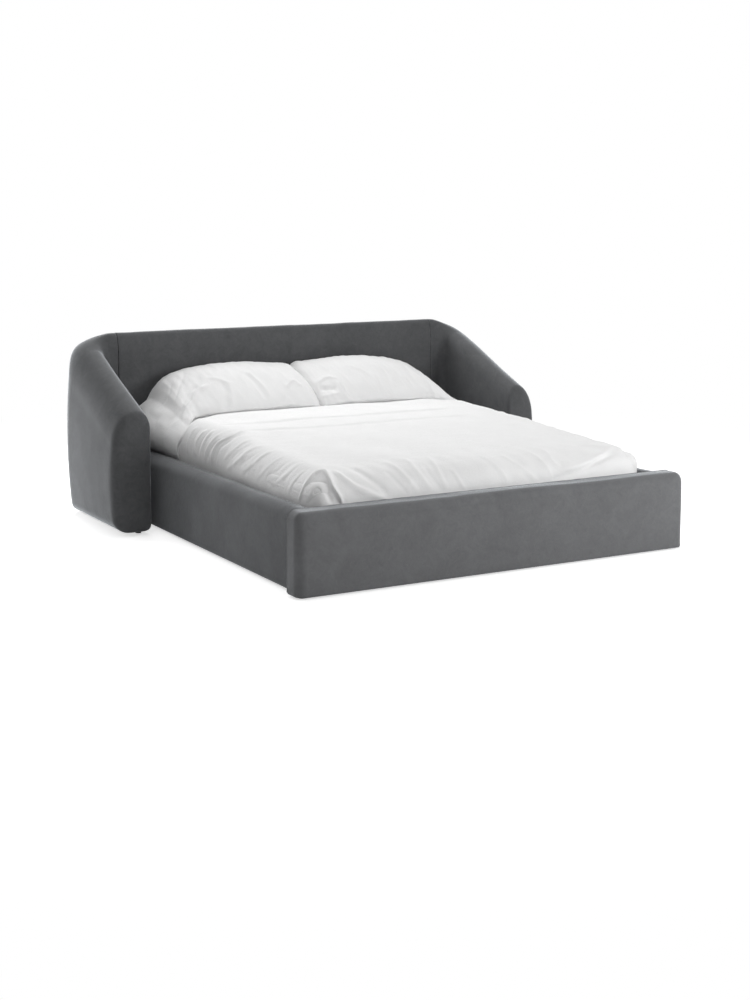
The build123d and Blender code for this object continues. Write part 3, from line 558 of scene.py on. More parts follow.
def wing_path(y):
    """Distance from the seam to a place on the wing's straight part."""
    lead = (WING_OUTER - WING_OUTER_CORNER + WING_INNER - WING_INNER_CORNER) / 2
    corner_y = (BACK - WING_OUTER_CORNER + HEAD_FACE - WING_INNER_CORNER) / 2
    turn = math.pi / 4 * (WING_OUTER_CORNER + WING_INNER_CORNER)
    return lead - SEAM + turn + corner_y - y


def wing_outline(y):
    """Section of the wing's straight part at one y, or at one y for each point."""
    along = (np.mean(y) - WING_FRONT) / (HEAD_FACE - WING_INNER_CORNER - WING_FRONT)
    bulge = WING_FRONT_BULGE + (WING_CORNER_BULGE - WING_FRONT_BULGE) * along
    return arch_outline(WING_THICKNESS, crown_height(wing_path(y)), WING_SHAPE, bulge)


def upright(inner, outer, outline):
    """A section's points stood up between two places in plan."""
    inner = np.array(inner)
    return np.column_stack([inner + outline[:, :1] * unit(np.array(outer) - inner), outline[:, 1]])


def wing_front_rings():
    """The wing's front face and the rounding behind it."""
    radius = facing_radius(wing_outline(WING_FRONT), *EDGE_FACING.values())
    cap = []
    for inset, deep in quarter(12):
        y = WING_FRONT + radius * deep
        shape = wing_outline(y)
        shape = shape - outward(shape) * (radius * inset)[:, None]
        cap.append(along_y(shape + (WING_INNER, 0), y))
    return face_rings(cap[0], 14, WING_FACE_CROWN)[::-1] + cap


def wing_corner_rings():
    """The wing's turn from its straight part to the headboard."""
    outer_centre = np.array((WING_OUTER - WING_OUTER_CORNER, BACK - WING_OUTER_CORNER))
    inner_centre = np.array((WING_INNER - WING_INNER_CORNER, HEAD_FACE - WING_INNER_CORNER))
    lead = (outer_centre[0] + inner_centre[0]) / 2 - SEAM
    rings = []
    for turn in np.linspace(0, QUARTER, 32):
        way = np.array((math.cos(turn), math.sin(turn)))
        outer = outer_centre + WING_OUTER_CORNER * way
        inner = inner_centre + WING_INNER_CORNER * way
        path = lead + (WING_OUTER_CORNER + WING_INNER_CORNER) / 2 * (QUARTER - turn)
        blend = smooth_step(turn / (math.pi / 4 + 0.12))
        shape = WING_SHAPE + (HEAD_SHAPE - WING_SHAPE) * blend
        bulge = WING_CORNER_BULGE * (1 - turn / QUARTER)
        outline = arch_outline(np.linalg.norm(outer - inner), crown_height(path), shape, bulge)
        rings.append(upright(inner, outer, outline))
    return rings


def wing_rings():
    """All rings of the right wing, from the middle of its front face to its seam."""
    rings = wing_front_rings()
    wall_start = WING_FRONT + max(EDGE_FACING.values()) * 1.12
    wall_end = BACK - WING_OUTER_CORNER - 0.008
    for y in np.linspace(wall_start, wall_end, 52):
        rings.append(upright((WING_INNER, y), (WING_OUTER, y), wing_outline(y)))
    rings += wing_corner_rings()
    last = np.array((WING_INNER - WING_INNER_CORNER, WING_OUTER - WING_OUTER_CORNER))
    end = SEAM + SEAM_GAP / 2
    for share in np.linspace(0, 1, 5)[1:]:
        places = last + (end + SEAM_ROUND - last) * share
        crown = crown_height((places.mean() - SEAM) * (1 - share))
        shape = arch_outline(BACK - HEAD_FACE, crown, HEAD_SHAPE, 0.0)
        rings.append(upright((places[0], HEAD_FACE), (places[1], BACK), shape))
    outline = arch_outline(BACK - HEAD_FACE, CROWN, HEAD_SHAPE, 0.0)
    for inset, deep in quarter(6, 90, 0)[1:]:
        shape = outline - outward(outline) * SEAM_ROUND * inset
        rings.append(along_x(shape + (HEAD_FACE, 0), end + SEAM_ROUND * deep))
    return rings


def make_wings():
    """Both wings, each with its own slight unevenness."""
    right = wing_rings()
    for side, rings, seed in (("right", right, 11), ("left", mirrored(right), 23)):
        upholstery(
            f"{side}_wing_upholstery", closed_rings(rings), f"{side}_wing_pad", VELVET,
            [(0.55, 0.0012), (0.16, 0.0002)], seed, above_floor,
        )


# ---------------------------------------------------------------- headboard
def headboard_outline():
    """Section (y, z) of the headboard's middle pad, open behind for its frame."""
    crest_share, inner_roll, outer_roll, toe, _ = HEAD_SHAPE
    crest = HEAD_FACE + crest_share * (BACK - HEAD_FACE)
    pocket_top = COVER_HIGH[2] + FRAME_CLEAR
    panel = PANEL_LOW[1] - FRAME_CLEAR
    shape = [
        (HEAD_FACE, WALL_FLOOR, toe), (panel, WALL_FLOOR, 0.004), (panel, pocket_top, 0.004),
        (BACK, pocket_top, 0.006),
    ]
    turns = np.linspace(0, QUARTER, 31)
    outer = [
        (crest + (BACK - crest) * math.cos(t), CROWN - outer_roll * (1 - math.sin(t)), 0)
        for t in turns
    ]
    inner = [
        (crest - (crest - HEAD_FACE) * math.sin(t), CROWN - inner_roll * (1 - math.cos(t)), 0)
        for t in turns
    ]
    return rounded_outline(shape + outer + inner[1:], 0.012)


def make_headboard():
    """The middle pad and the covered board that closes its back."""
    outline = headboard_outline()
    end = SEAM - SEAM_GAP / 2
    rings = swept_pad(outline, -end, end, 0.014, np.full(len(outline), SEAM_ROUND), along_x)
    upholstery(
        "headboard_upholstery", closed_rings(rings), "headboard_pad", VELVET,
        [(0.7, 0.0008), (0.17, 0.0004)], 31, above_floor,
    )
    low, high = COVER_LOW, COVER_HIGH
    outline = box_outline(low[1:], high[1:], (0.002, 0.006, 0.006, 0.002), 0.012)
    edge = facing_radius(outline, 0.002, 0.006, 0.004, 0.004)
    rings = swept_pad(outline, low[0], high[0], 0.016, edge, along_x)
    upholstery(
        "rear_cover_cloth", closed_rings(rings), "rear_cover", VELVET,
        [(0.4, 0.0008)], 37, lambda points: smooth_step((points[:, 1] - low[1]) / 0.015),
    )


# ---------------------------------------------------------------- footboard
FOOT_SIDE_POINTS = 17
FOOT_TOP_POINTS = 105
FOOT_TURN_POINTS = 9


def footboard_outline():
    """Outline (x, z) of the footboard, its lower half point for point under its upper half."""
    middle = (FOOT_LOW[2] + FOOT_HIGH[2]) / 2
    halves = []
    for height, radius in ((FOOT_HIGH[2] - middle, FOOT_CORNER), (FOOT_LOW[2] - middle, FOOT_UNDER_CORNER)):
        side = np.linspace(0, abs(height) - radius, FOOT_SIDE_POINTS)
        turn = np.linspace(0, QUARTER, FOOT_TURN_POINTS)[1:-1]
        across = np.linspace(FOOT_HALF - radius, 0, FOOT_TOP_POINTS)
        x = np.concatenate([
            np.full(len(side), FOOT_HALF), FOOT_HALF - radius * (1 - np.cos(turn)), across,
        ])
        z = np.concatenate([
            side, abs(height) - radius * (1 - np.sin(turn)), np.full(len(across), abs(height)),
        ])
        halves.append(np.stack([x, middle + math.copysign(1, height) * z], axis=1))
    flip = np.array((-1, 1))
    upper, lower = halves
    return np.concatenate([upper, upper[-2::-1] * flip, lower[1:] * flip, lower[-2:0:-1]])


def rounding_inset(radius, deep):
    """How far a round edge lies inside its outline at a depth behind the face."""
    return radius * (1 - math.sqrt(1 - max(0.0, 1 - deep / radius) ** 2))


def folded_fill(count, start):
    """Faces across a ring whose two halves lie point for point opposite each other."""
    half = count // 2
    end = FOOT_SIDE_POINTS + FOOT_TURN_POINTS - 1
    faces = [
        tuple(start + here % count for here in range(-end, end + 1)),
        tuple(start + here for here in range(half - end, half + end + 1)),
    ]
    for here in range(end, half - end):
        faces.append((start + here, start + here + 1, start + count - here - 1, start + count - here))
    return faces


def footboard_outside(points):
    """1 on the footboard's front, 0 towards its back face and its underside."""
    return smooth_step((FOOT_HIGH[1] - points[:, 1]) / 0.04) * above_floor(points)


def make_footboard():
    """The footboard's box pad, crowned in front and with soft front edges."""
    outline = footboard_outline()
    low, high = FOOT_LOW[2], FOOT_HIGH[2]
    front, back = FOOT_LOW[1], FOOT_HIGH[1]
    cap = []
    for _, deep in quarter(19):
        depth = max(FOOT_FACING.values()) * deep
        side, foot, top = (rounding_inset(radius, depth) for radius in FOOT_FACING.values())
        x = outline[:, 0] * (1 - side / FOOT_HALF)
        z = low + foot + (outline[:, 1] - low) * (1 - (foot + top) / (high - low))
        cap.append(along_y(np.stack([x, z], axis=1), front + depth))
    wall = [along_y(outline, y) for y in np.linspace(front + 0.072, back - 0.012, 5)]
    for inset, deep in quarter(6, 90, 0):
        shape = outline - outward(outline) * FOOT_BACK_EDGE * inset
        wall.append(along_y(shape, back - FOOT_BACK_EDGE * deep))
    rings = face_rings(cap[0], 20, FOOT_FACE_CROWN)[::-1] + cap + wall + face_rings(wall[-1], 12)
    count = len(outline)
    last = (len(rings) - 1) * count
    faces = ring_faces(len(rings), count) + folded_fill(count, 0) + folded_fill(count, last)
    # The footboard wears the lighter velvet copy: painted light for the brighter light on its front and top
    upholstery(
        "footboard_upholstery", (np.concatenate(rings), faces), "footboard_pad", VELVET_PAINTED_LIGHTER,
        [(0.5, 0.0012), (0.2, 0.0004)], 41, footboard_outside,
    )


def tube(path, radius):
    """Rings of a round cord along an upright path that faces +Y."""
    side = np.array((0.0, 1.0, 0.0))
    turns = np.linspace(0, 2 * math.pi, 14, endpoint=False)[:, None]
    rings = []
    for here, way in zip(path, np.gradient(path, axis=0)):
        other = unit(np.cross(unit(way), side))
        rings.append(here + radius * (np.cos(turns) * side + np.sin(turns) * other))
    return rings


def make_welt():
    """The covered cord in the seam round the footboard's back edge."""
    radius = (WELT_HIGH[1] - WELT_LOW[1]) / 2
    proud = WELT_HIGH[2] - FOOT_HIGH[2] - radius
    half = FOOT_HALF + proud
    top = FOOT_HIGH[2] + proud
    bend = FOOT_CORNER + proud
    rise = np.linspace(WELT_LOW[2], top - bend, 40)
    turn = np.linspace(0, QUARTER, 10)[1:-1]
    x = np.concatenate([np.full(len(rise), -half), -half + bend - bend * np.cos(turn)])
    z = np.concatenate([rise, top - bend + bend * np.sin(turn)])
    across = np.linspace(-half + bend, half - bend, 240)
    path = np.column_stack([
        np.concatenate([x, across, -x[::-1]]),
        np.concatenate([z, np.full(len(across), top), z[::-1]]),
    ])
    rings = tube(along_y(path, (WELT_HIGH[1] + WELT_LOW[1]) / 2), radius)
    # The cord wears the same lighter velvet copy, painted light like the footboard's
    upholstery(
        "footboard_seam_cord", closed_rings(rings), "footboard_welt", VELVET_PAINTED_LIGHTER,
        [(0.05, 0.0003)], 47,
    )


# ---------------------------------------------------------------- side rails
def rail_outline():
    """Section (x, z) of the right rail's pad, folded over its board."""
    lining = SLAT_HIGH[2] + 0.0005
    board_in = BOARD_LOW[0] - BOARD_CLEAR
    board_out = BOARD_HIGH[0] + BOARD_CLEAR
    board_top = BOARD_HIGH[2] + BOARD_CLEAR
    shape = [
        (board_out, FLOOR_GAP, 0.004), (RAIL_OUTER, FLOOR_GAP, 0.014),
        (RAIL_OUTER, RAIL_TOP, RAIL_OUTER_ROUND), (RAIL_INNER, RAIL_TOP, RAIL_INNER_ROUND),
        (RAIL_INNER, lining, 0.003), (board_in, lining, 0.002), (board_in, board_top, 0.002),
        (board_out, board_top, 0.002),
    ]
    return rounded_outline(shape, 0.009)


def rail_outside(points):
    """1 on a rail pad's outside and top, 0 towards its board and its ends."""
    outside = smooth_step((np.abs(points[:, 0]) - RAIL_INNER - 0.006) / 0.03)
    ends = smooth_step((RAIL_HIGH[1] - np.abs(points[:, 1] - (RAIL_HIGH[1] + RAIL_LOW[1]) / 2)) / 0.1)
    return outside * above_floor(points) * ends


def make_rails():
    """Both rail pads, each with its own slight unevenness."""
    outline = rail_outline()
    edge = np.full(len(outline), RAIL_END_ROUND)
    right = swept_pad(outline, RAIL_LOW[1], RAIL_HIGH[1], 0.012, edge, along_y)
    for side, rings, seed in (("right", right, 53), ("left", mirrored(right), 59)):
        upholstery(
            f"{side}_rail_upholstery", closed_rings(rings), f"{side}_rail_pad", VELVET,
            [(0.45, 0.0010), (0.15, 0.0002)], seed, rail_outside,
        )


# ---------------------------------------------------------------- mattress and its fitted sheet
MATTRESS_CORNER = 0.070
MATTRESS_EDGE = 0.060
QUILT_PITCH = 0.11
QUILT_DEPTH = 0.005
CHANNEL_PITCH = 0.055
CHANNEL_DEPTH = 0.003
SHEET_GAP = 0.0012
SHEET_THICKNESS = 0.0008
OVER_SHEET = 0.002
GATHERS = 160
GATHER_DEPTH = 0.0016
GATHER_REACH = 0.10
HEM = MATTRESS_LOW[2] + MATTRESS_EDGE * 1.1


def block_rings(low, high, spacing, face_steps, lowest=None):
    """Rings of a rounded block from its underside's middle, or a lowest level, to its top's middle."""
    edge = MATTRESS_EDGE
    outline = box_outline(low, high, [MATTRESS_CORNER] * 4, spacing)
    facing = outward(outline)
    inner = outline - facing * edge
    centre = np.array(((low[0] + high[0]) / 2, (low[1] + high[1]) / 2))

    def level(points, z):
        return np.column_stack([points, np.full(len(points), z)])

    shares = np.linspace(0.01, 1, face_steps)[:-1]
    rings = []
    if lowest is None:
        rings += [level(centre + (inner - centre) * share, low[2]) for share in shares]
        for inset, deep in quarter(7):
            rings.append(level(outline - facing * edge * inset, low[2] + edge * deep))
        lowest = low[2] + edge
    steps = math.ceil((high[2] - edge - lowest) / spacing)
    rings += [level(outline, z) for z in np.linspace(lowest, high[2] - edge, steps + 1)]
    for inset, deep in quarter(8, 90, 0)[1:]:
        rings.append(level(outline - facing * edge * inset, high[2] - edge * deep))
    return rings + [level(centre + (inner - centre) * share, high[2]) for share in shares[::-1]]


def quilting(points, facing):
    """Diamonds stitched into the mattress's panels and channels into its border."""
    flat = np.abs(facing[:, 2]) ** 4
    diamonds = np.abs(np.sin((points[:, 0] + points[:, 1]) * math.pi / QUILT_PITCH))
    diamonds = diamonds * np.abs(np.sin((points[:, 0] - points[:, 1]) * math.pi / QUILT_PITCH))
    middle = (MATTRESS_LOW[2] + MATTRESS_HIGH[2]) / 2
    channels = np.abs(np.sin((points[:, 2] - middle) * math.pi / CHANNEL_PITCH)) ** 0.4
    return -(QUILT_DEPTH * (1 - diamonds ** 0.35) * flat + CHANNEL_DEPTH * (1 - channels) * (1 - flat))


def gathering(points, _):
    """Ripples of the fitted sheet, and gathers above its elastic hem."""
    around = np.arctan2(points[:, 1], points[:, 0])
    low = smooth_step((HEM + GATHER_REACH - points[:, 2]) / GATHER_REACH)
    gathers = np.abs(np.sin(around * GATHERS)) * GATHER_DEPTH * low
    return gathers + (0.0009 * np.abs(waves(points, 0.22, 71)) + 0.0003 * np.abs(waves(points, 0.06, 72)))


def make_mattress():
    """The quilted mattress, and the fitted sheet drawn over it and down its sides."""
    skin = closed_rings(block_rings(MATTRESS_LOW, MATTRESS_HIGH, 0.018, 56))
    bed = piece("mattress_block", *skin, "mattress", "mattress_ticking", TICKING)
    push_out(bed, quilting)
    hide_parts("mattress")

    rings = block_rings(MATTRESS_LOW - SHEET_GAP, MATTRESS_HIGH + SHEET_GAP, 0.016, 66, HEM)
    points, faces = closed_rings(rings)
    faces.pop(-2)
    cloth = piece("fitted_sheet_cloth", points, faces, "mattress", "white_linen", LINEN)
    push_out(cloth, gathering)
    solid = cloth.modifiers.new("thickness", "SOLIDIFY")
    solid.thickness = SHEET_THICKNESS
    solid.offset = 1.0
    graph = bpy.context.evaluated_depsgraph_get()
    mesh = bpy.data.meshes.new_from_object(cloth.evaluated_get(graph))
    cloth.modifiers.clear()
    old = cloth.data
    cloth.data = mesh
    bpy.data.meshes.remove(old)
    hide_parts("fitted_sheet")


# ---------------------------------------------------------------- folds of cloth
# Run of a fold's fade as a share of its length, and how far along the fade its very end is
FOLD_FADE = 0.22
FOLD_END = 0.12


def spline(p0, p1, p2, p3, steps):
    """Points of a smooth run from p1 towards p2, shaped by the places before and after."""
    share = np.linspace(0, 1, steps, endpoint=False)[:, None]
    return 0.5 * (
        2 * p1 + (p2 - p0) * share + (2 * p0 - 5 * p1 + 4 * p2 - p3) * share ** 2
        + (3 * p1 - p0 - 3 * p2 + p3) * share ** 3
    )


def run_lengths(points):
    """Distance along a line of points, from its start to each."""
    return np.concatenate([[0], np.cumsum(np.linalg.norm(np.diff(points, axis=0), axis=1))])


def smooth_line(points):
    """A smooth open line through a few places."""
    points = np.array(points)
    padded = np.concatenate([2 * points[:1] - points[1:2], points, 2 * points[-1:] - points[-2:-1]])
    runs = [spline(*padded[index:index + 4], 10) for index in range(len(points) - 1)]
    return np.concatenate(runs + [points[-1:]])


def crease(flat, path, width, height, lean=0.0):
    """Height of one fold over flat places: a ridge, or a valley when the height is negative.

    It fades out at both ends; lean makes its left side steeper, or its right when negative.
    """
    line = smooth_line(path)
    reach = 3.2 * width * (1 + abs(lean))
    near = np.all((flat > line.min(axis=0) - reach) & (flat < line.max(axis=0) + reach), axis=1)
    run = np.diff(line, axis=0)
    length = np.linalg.norm(run, axis=1)
    offset = flat[near][:, None, :] - line[None, :-1, :]
    share = np.clip(np.sum(offset * run, axis=2) / length ** 2, 0, 1)
    gap = offset - share[:, :, None] * run
    distance = np.linalg.norm(gap, axis=2)
    best = distance.argmin(axis=1)
    rows = np.arange(len(best))
    side = np.sign(run[best, 0] * gap[rows, best, 1] - run[best, 1] * gap[rows, best, 0])
    reached = run_lengths(line)
    along = (reached[best] + share[rows, best] * length[best]) / reached[-1]
    fade = smooth_step(along / FOLD_FADE + FOLD_END)
    fade = fade * smooth_step((1 - along) / FOLD_FADE + FOLD_END)
    rise = np.zeros(len(flat))
    rise[near] = height * fade * np.exp(-((distance[rows, best] / (width * (1 - lean * side))) ** 2))
    return rise


def creased(flat, folds):
    """Height of several folds together: each is a path, a width, a height and perhaps a lean."""
    return sum(crease(flat, *fold) for fold in folds)


def grid_normals(across, along):
    """Unit normals of a grid of points, from its steps across and along."""
    facing = np.cross(across, along).reshape(-1, 3)
    return facing / np.maximum(np.linalg.norm(facing, axis=1), 1e-12)[:, None]


# ---------------------------------------------------------------- coverlet
def shoulder(reach, fall, power, level=0.0):
    """How far out and down each share of the run over a rounded shoulder has come, and the run."""
    turn = np.linspace(0, QUARTER, 240)
    out = np.concatenate([[0], level + reach * np.sin(turn) ** (2 / power)])
    down = np.concatenate([[0], fall * (1 - np.cos(turn) ** (2 / power))])
    run = run_lengths(np.column_stack([out, down]))
    return run / run[-1], out, down, run[-1]


COVERLET_CLEAR = 0.0012
COVERLET_HALF = COVERLET_HIGH[0] - COVERLET_CLEAR
COVERLET_FOOT = COVERLET_LOW[1] + COVERLET_CLEAR
COVERLET_HEAD = COVERLET_HIGH[1] - 0.002
COVERLET_HEM = COVERLET_LOW[2] + 0.004
COVERLET_SIDE_DROP = 0.10
COVERLET_FOOT_DROP = 0.07
COVERLET_HEAD_ROLL = 0.018
HEAD_EDGE_SKEW = 0.15
HEAD_EDGE_STRAIGHT = 0.60
HEAD_EDGE_TURN = 0.34
COVERLET_CROWN = 0.008
SIDE_FOLDS_START = 0.66
FOOT_FOLDS_START = -0.80
COVERLET_COLUMNS = 400
COVERLET_ROWS = 340
LINING_STEP = 3
LINING_CLEAR = 0.0022
LINING_DEPTH = 0.0015
LINING_SHOULDER = shoulder(MATTRESS_EDGE, MATTRESS_EDGE, 2.0, MATTRESS_CORNER - MATTRESS_EDGE)
OUTER_BLOCK = {
    "half": COVERLET_HALF, "foot": COVERLET_FOOT, "corner": 3.5,
    "side": shoulder(0.150, 0.150, 2.15), "end": shoulder(0.250, 0.135, 2.3),
}
LINING_BLOCK = {
    "half": SHEET_HIGH[0] + LINING_CLEAR, "foot": SHEET_LOW[1] - LINING_CLEAR, "corner": 0.0,
    "side": LINING_SHOULDER, "end": LINING_SHOULDER,
}
CREST_PLACES = (-1.30, -1.00, -0.81, -0.47, -0.20, 0.0, 0.30, 0.60)
CREST_HEIGHTS = (0.500, 0.508, 0.515, 0.530, 0.550, 0.562, 0.571, 0.572)


def head_edge(x):
    """Where the coverlet's edge lies along the bed: turned back towards both sides."""
    return COVERLET_HEAD - HEAD_EDGE_SKEW * smooth_step((np.abs(x) - HEAD_EDGE_STRAIGHT) / HEAD_EDGE_TURN)


def coverlet_top(x, y):
    """Height of the coverlet's top, a little fuller along the bed's middle."""
    shifts = np.linspace(-0.09, 0.09, 7)
    crest = sum(np.interp(y + shift, CREST_PLACES, CREST_HEIGHTS) for shift in shifts) / len(shifts)
    over = np.clip((y - head_edge(x)) / COVERLET_HEAD_ROLL + 1, 0, 1)
    roll = COVERLET_HEAD_ROLL * (1 - np.sqrt(1 - 0.96 * over ** 2))
    return crest + COVERLET_CROWN * (1 - np.abs(x / COVERLET_HALF) ** 2) - roll


def sheet_top(x, _):
    """Height of the fitted sheet's top under the coverlet."""
    return np.full(len(x), SHEET_HIGH[2] + OVER_SHEET)


def coverlet_grid():
    """Flat places of the coverlet's cloth, row by row from its foot."""
    _, side_out, _, side_run = OUTER_BLOCK["side"]
    _, foot_out, _, foot_run = OUTER_BLOCK["end"]
    half = COVERLET_HALF - side_out[-1] + side_run + COVERLET_SIDE_DROP
    foot = COVERLET_FOOT + foot_out[-1] - foot_run - COVERLET_FOOT_DROP
    columns = np.linspace(-half, half, COVERLET_COLUMNS)
    flat_x, share = np.meshgrid(columns, np.linspace(0, 1, COVERLET_ROWS))
    # Rows lie closer together towards both ends
    even = share + 0.5 * share * (1 - share) * (share - 0.5)
    return flat_x.ravel(), (foot + (head_edge(flat_x) - foot) * even).ravel()


def draped(flat_x, flat_y, block, top):
    """Where the coverlet's flat places come to lie over a block with rounded shoulders."""
    _, outer_side, _, side_run = OUTER_BLOCK["side"]
    _, outer_end, _, end_run = OUTER_BLOCK["end"]
    inner_half = COVERLET_HALF - outer_side[-1]
    inner_foot = COVERLET_FOOT + outer_end[-1]
    past_x = np.maximum(np.abs(flat_x) - inner_half, 0) / side_run
    past_y = np.maximum(inner_foot - flat_y, 0) / end_run
    past = np.maximum(past_x, past_y)
    share = np.minimum(past, 1)
    turn = np.minimum(past_x, past_y) / np.maximum(past, 1e-9) * math.pi / 4
    turn = np.where(past_x >= past_y, turn, QUARTER - turn)
    c, s = np.cos(turn), np.sin(turn)
    # The left corner at the foot is squarer than the right one
    power = 2 + np.where(flat_x < 0, block["corner"], 0.2 * block["corner"]) * share
    grow = (c ** power + s ** power) ** (-1 / power)
    c, s = (np.where(past > 0, part, 0) for part in (c, s))
    side_at, side_out, side_down, _ = block["side"]
    end_at, end_out, end_down, _ = block["end"]
    body_foot = block["foot"] + end_out[-1]
    base_x = np.clip(flat_x, -inner_half, inner_half) * (block["half"] - side_out[-1]) / inner_half
    stretch = (COVERLET_HEAD - body_foot) / (COVERLET_HEAD - inner_foot)
    base_y = COVERLET_HEAD - (COVERLET_HEAD - np.maximum(flat_y, inner_foot)) * stretch
    x = base_x + np.sign(flat_x) * c * grow * np.interp(share, side_at, side_out)
    y = base_y - s * grow * np.interp(share, end_at, end_out)
    down = c * c * np.interp(share, side_at, side_down) + s * s * np.interp(share, end_at, end_down)
    z = top(base_x, base_y) - down
    most = 1 + c * c * COVERLET_SIDE_DROP / side_run + s * s * COVERLET_FOOT_DROP / end_run
    below = np.clip((past - 1) / (most - 1 + 1e-9), 0, 1)
    return np.stack([x, y, z - (z - COVERLET_HEM) * below], axis=1)


# Path of (across, along) flat places, half width, height and any lean of each fold
COVERLET_FOLDS = (
    # lines across the turned-back head
    (((-0.84, 0.225), (-0.65, 0.21), (-0.34, 0.19), (0.12, 0.16), (0.72, 0.19)), 0.012, 0.0055, 0.3),
    (((-0.84, 0.19), (-0.65, 0.175), (-0.34, 0.155), (0.12, 0.127), (0.6, 0.15)), 0.014, -0.003),
    (((-0.83, 0.07), (-0.67, -0.01), (-0.34, -0.04), (0.13, -0.05), (0.64, -0.04)), 0.013, 0.0045, 0.3),
    (((-0.8, 0.03), (-0.67, -0.045), (-0.34, -0.075), (0.13, -0.085), (0.5, -0.07)), 0.016, -0.0025),
    # gathers at the left of the head
    (((-0.73, -0.02), (-0.84, -0.05), (-0.9, -0.01), (-0.955, 0.0), (-1.03, 0.02)), 0.014, 0.0094, 0.3),
    (((-0.76, -0.065), (-0.86, -0.085), (-0.92, -0.05), (-0.98, -0.04), (-1.03, -0.03)), 0.012, -0.0037),
    (((-0.795, -0.05), (-0.87, -0.015), (-0.92, 0.035), (-0.98, 0.06), (-1.03, 0.09)), 0.011, -0.0053),
    (((-0.86, 0.216), (-0.93, 0.222), (-1.02, 0.21)), 0.012, 0.006, 0.3),
    (((-0.84, 0.148), (-0.93, 0.139), (-1.03, 0.149)), 0.013, 0.0067, 0.3),
    (((-0.85, 0.18), (-0.93, 0.178), (-1.03, 0.18)), 0.01, -0.0034),
    (((-0.85, 0.06), (-0.92, 0.07), (-1.03, 0.1)), 0.011, 0.0053, 0.3),
    (((-0.86, 0.333), (-0.94, 0.324), (-1.02, 0.316)), 0.014, 0.0053, 0.2),
    (((-0.86, 0.275), (-0.94, 0.268), (-1.02, 0.262)), 0.011, -0.003),
    # wrinkles down the left side
    (((-0.79, -0.2), (-0.89, -0.19), (-0.98, -0.12)), 0.013, 0.0031, 0.3),
    (((-0.79, -0.34), (-0.89, -0.31), (-0.98, -0.24)), 0.014, 0.0034, 0.3),
    (((-0.79, -0.48), (-0.9, -0.45), (-0.99, -0.35)), 0.014, 0.0031, 0.3),
    (((-0.79, -0.59), (-0.9, -0.58), (-0.99, -0.51)), 0.013, 0.0028, 0.3),
    (((-0.8, -0.76), (-0.9, -0.77), (-0.98, -0.69)), 0.015, 0.0033, 0.3),
    (((-0.88, -0.35), (-0.955, -0.26), (-1.02, -0.15)), 0.01, 0.0025),
    (((-0.84, -0.865), (-0.91, -0.866), (-0.99, -0.84)), 0.013, 0.0028, 0.2),
    (((-0.83, -0.26), (-0.9, -0.24), (-0.97, -0.18)), 0.012, -0.002),
    (((-0.83, -0.405), (-0.9, -0.38), (-0.97, -0.3)), 0.012, -0.002),
    (((-0.83, -0.675), (-0.9, -0.67), (-0.97, -0.6)), 0.014, -0.002),
    # tented corner at the left of the foot
    (((-0.8, -0.945), (-0.88, -0.985), (-0.94, -1.0), (-1.01, -1.0)), 0.014, 0.0084, 0.2),
    (((-0.8, -0.94), (-0.835, -1.05), (-0.845, -1.115), (-0.8, -1.20)), 0.016, 0.0152, -0.3),
    (((-0.765, -0.96), (-0.725, -1.09), (-0.64, -1.15), (-0.53, -1.20)), 0.018, 0.01, 0.3),
    (((-0.865, -1.05), (-0.895, -1.11), (-0.9, -1.18)), 0.02, -0.006),
    (((-0.66, -0.94), (-0.62, -1.07), (-0.55, -1.17)), 0.02, -0.0068),
    # wrinkles down the foot
    (((-0.354, -0.9), (-0.363, -1.08), (-0.315, -1.18)), 0.015, 0.0033, 0.2),
    (((-0.225, -0.89), (-0.26, -1.09), (-0.235, -1.19)), 0.014, 0.0027, 0.2),
    (((-0.19, -1.06), (-0.17, -1.14), (-0.13, -1.20)), 0.01, 0.0022),
    (((-0.46, -0.92), (-0.44, -1.08), (-0.39, -1.18)), 0.014, 0.0033, 0.2),
    (((-0.31, -1.00), (-0.31, -1.10), (-0.275, -1.18)), 0.012, -0.002),
    (((-0.52, -1.02), (-0.5, -1.10), (-0.45, -1.18)), 0.012, -0.0022),
    (((0.13, -0.97), (0.185, -1.09), (0.275, -1.19)), 0.013, 0.0029, 0.2),
    (((0.4, -0.95), (0.385, -1.07), (0.41, -1.13)), 0.013, 0.0025, 0.2),
    (((0.3, -0.96), (0.33, -1.09), (0.35, -1.18)), 0.011, 0.0022, 0.2),
    (((0.02, -0.95), (0.05, -1.07), (0.1, -1.18)), 0.013, 0.002, 0.2),
    # the long fold towards the right corner of the foot
    (((0.28, -1.205), (0.39, -1.17), (0.5, -1.15), (0.65, -1.10), (0.78, -1.06)), 0.014, -0.0075),
    (((0.38, -1.135), (0.52, -1.12), (0.67, -1.07), (0.8, -1.005)), 0.017, 0.0085, -0.3),
    (((0.62, -0.93), (0.72, -0.985), (0.82, -1.01), (0.9, -1.04)), 0.017, 0.007, 0.2),
    # the same kinds of wrinkle down the right side
    (((0.79, -0.72), (0.9, -0.74), (0.99, -0.68)), 0.015, 0.0036, -0.3),
    (((0.79, -0.45), (0.9, -0.43), (0.99, -0.34)), 0.014, 0.0037, -0.3),
    (((0.79, -0.22), (0.9, -0.19), (0.99, -0.12)), 0.014, 0.0036, -0.3),
    (((0.8, 0.02), (0.91, 0.04), (1.01, 0.08)), 0.014, 0.0051, -0.3),
    (((0.84, 0.17), (0.93, 0.16), (1.02, 0.16)), 0.013, 0.0048, -0.3),
)


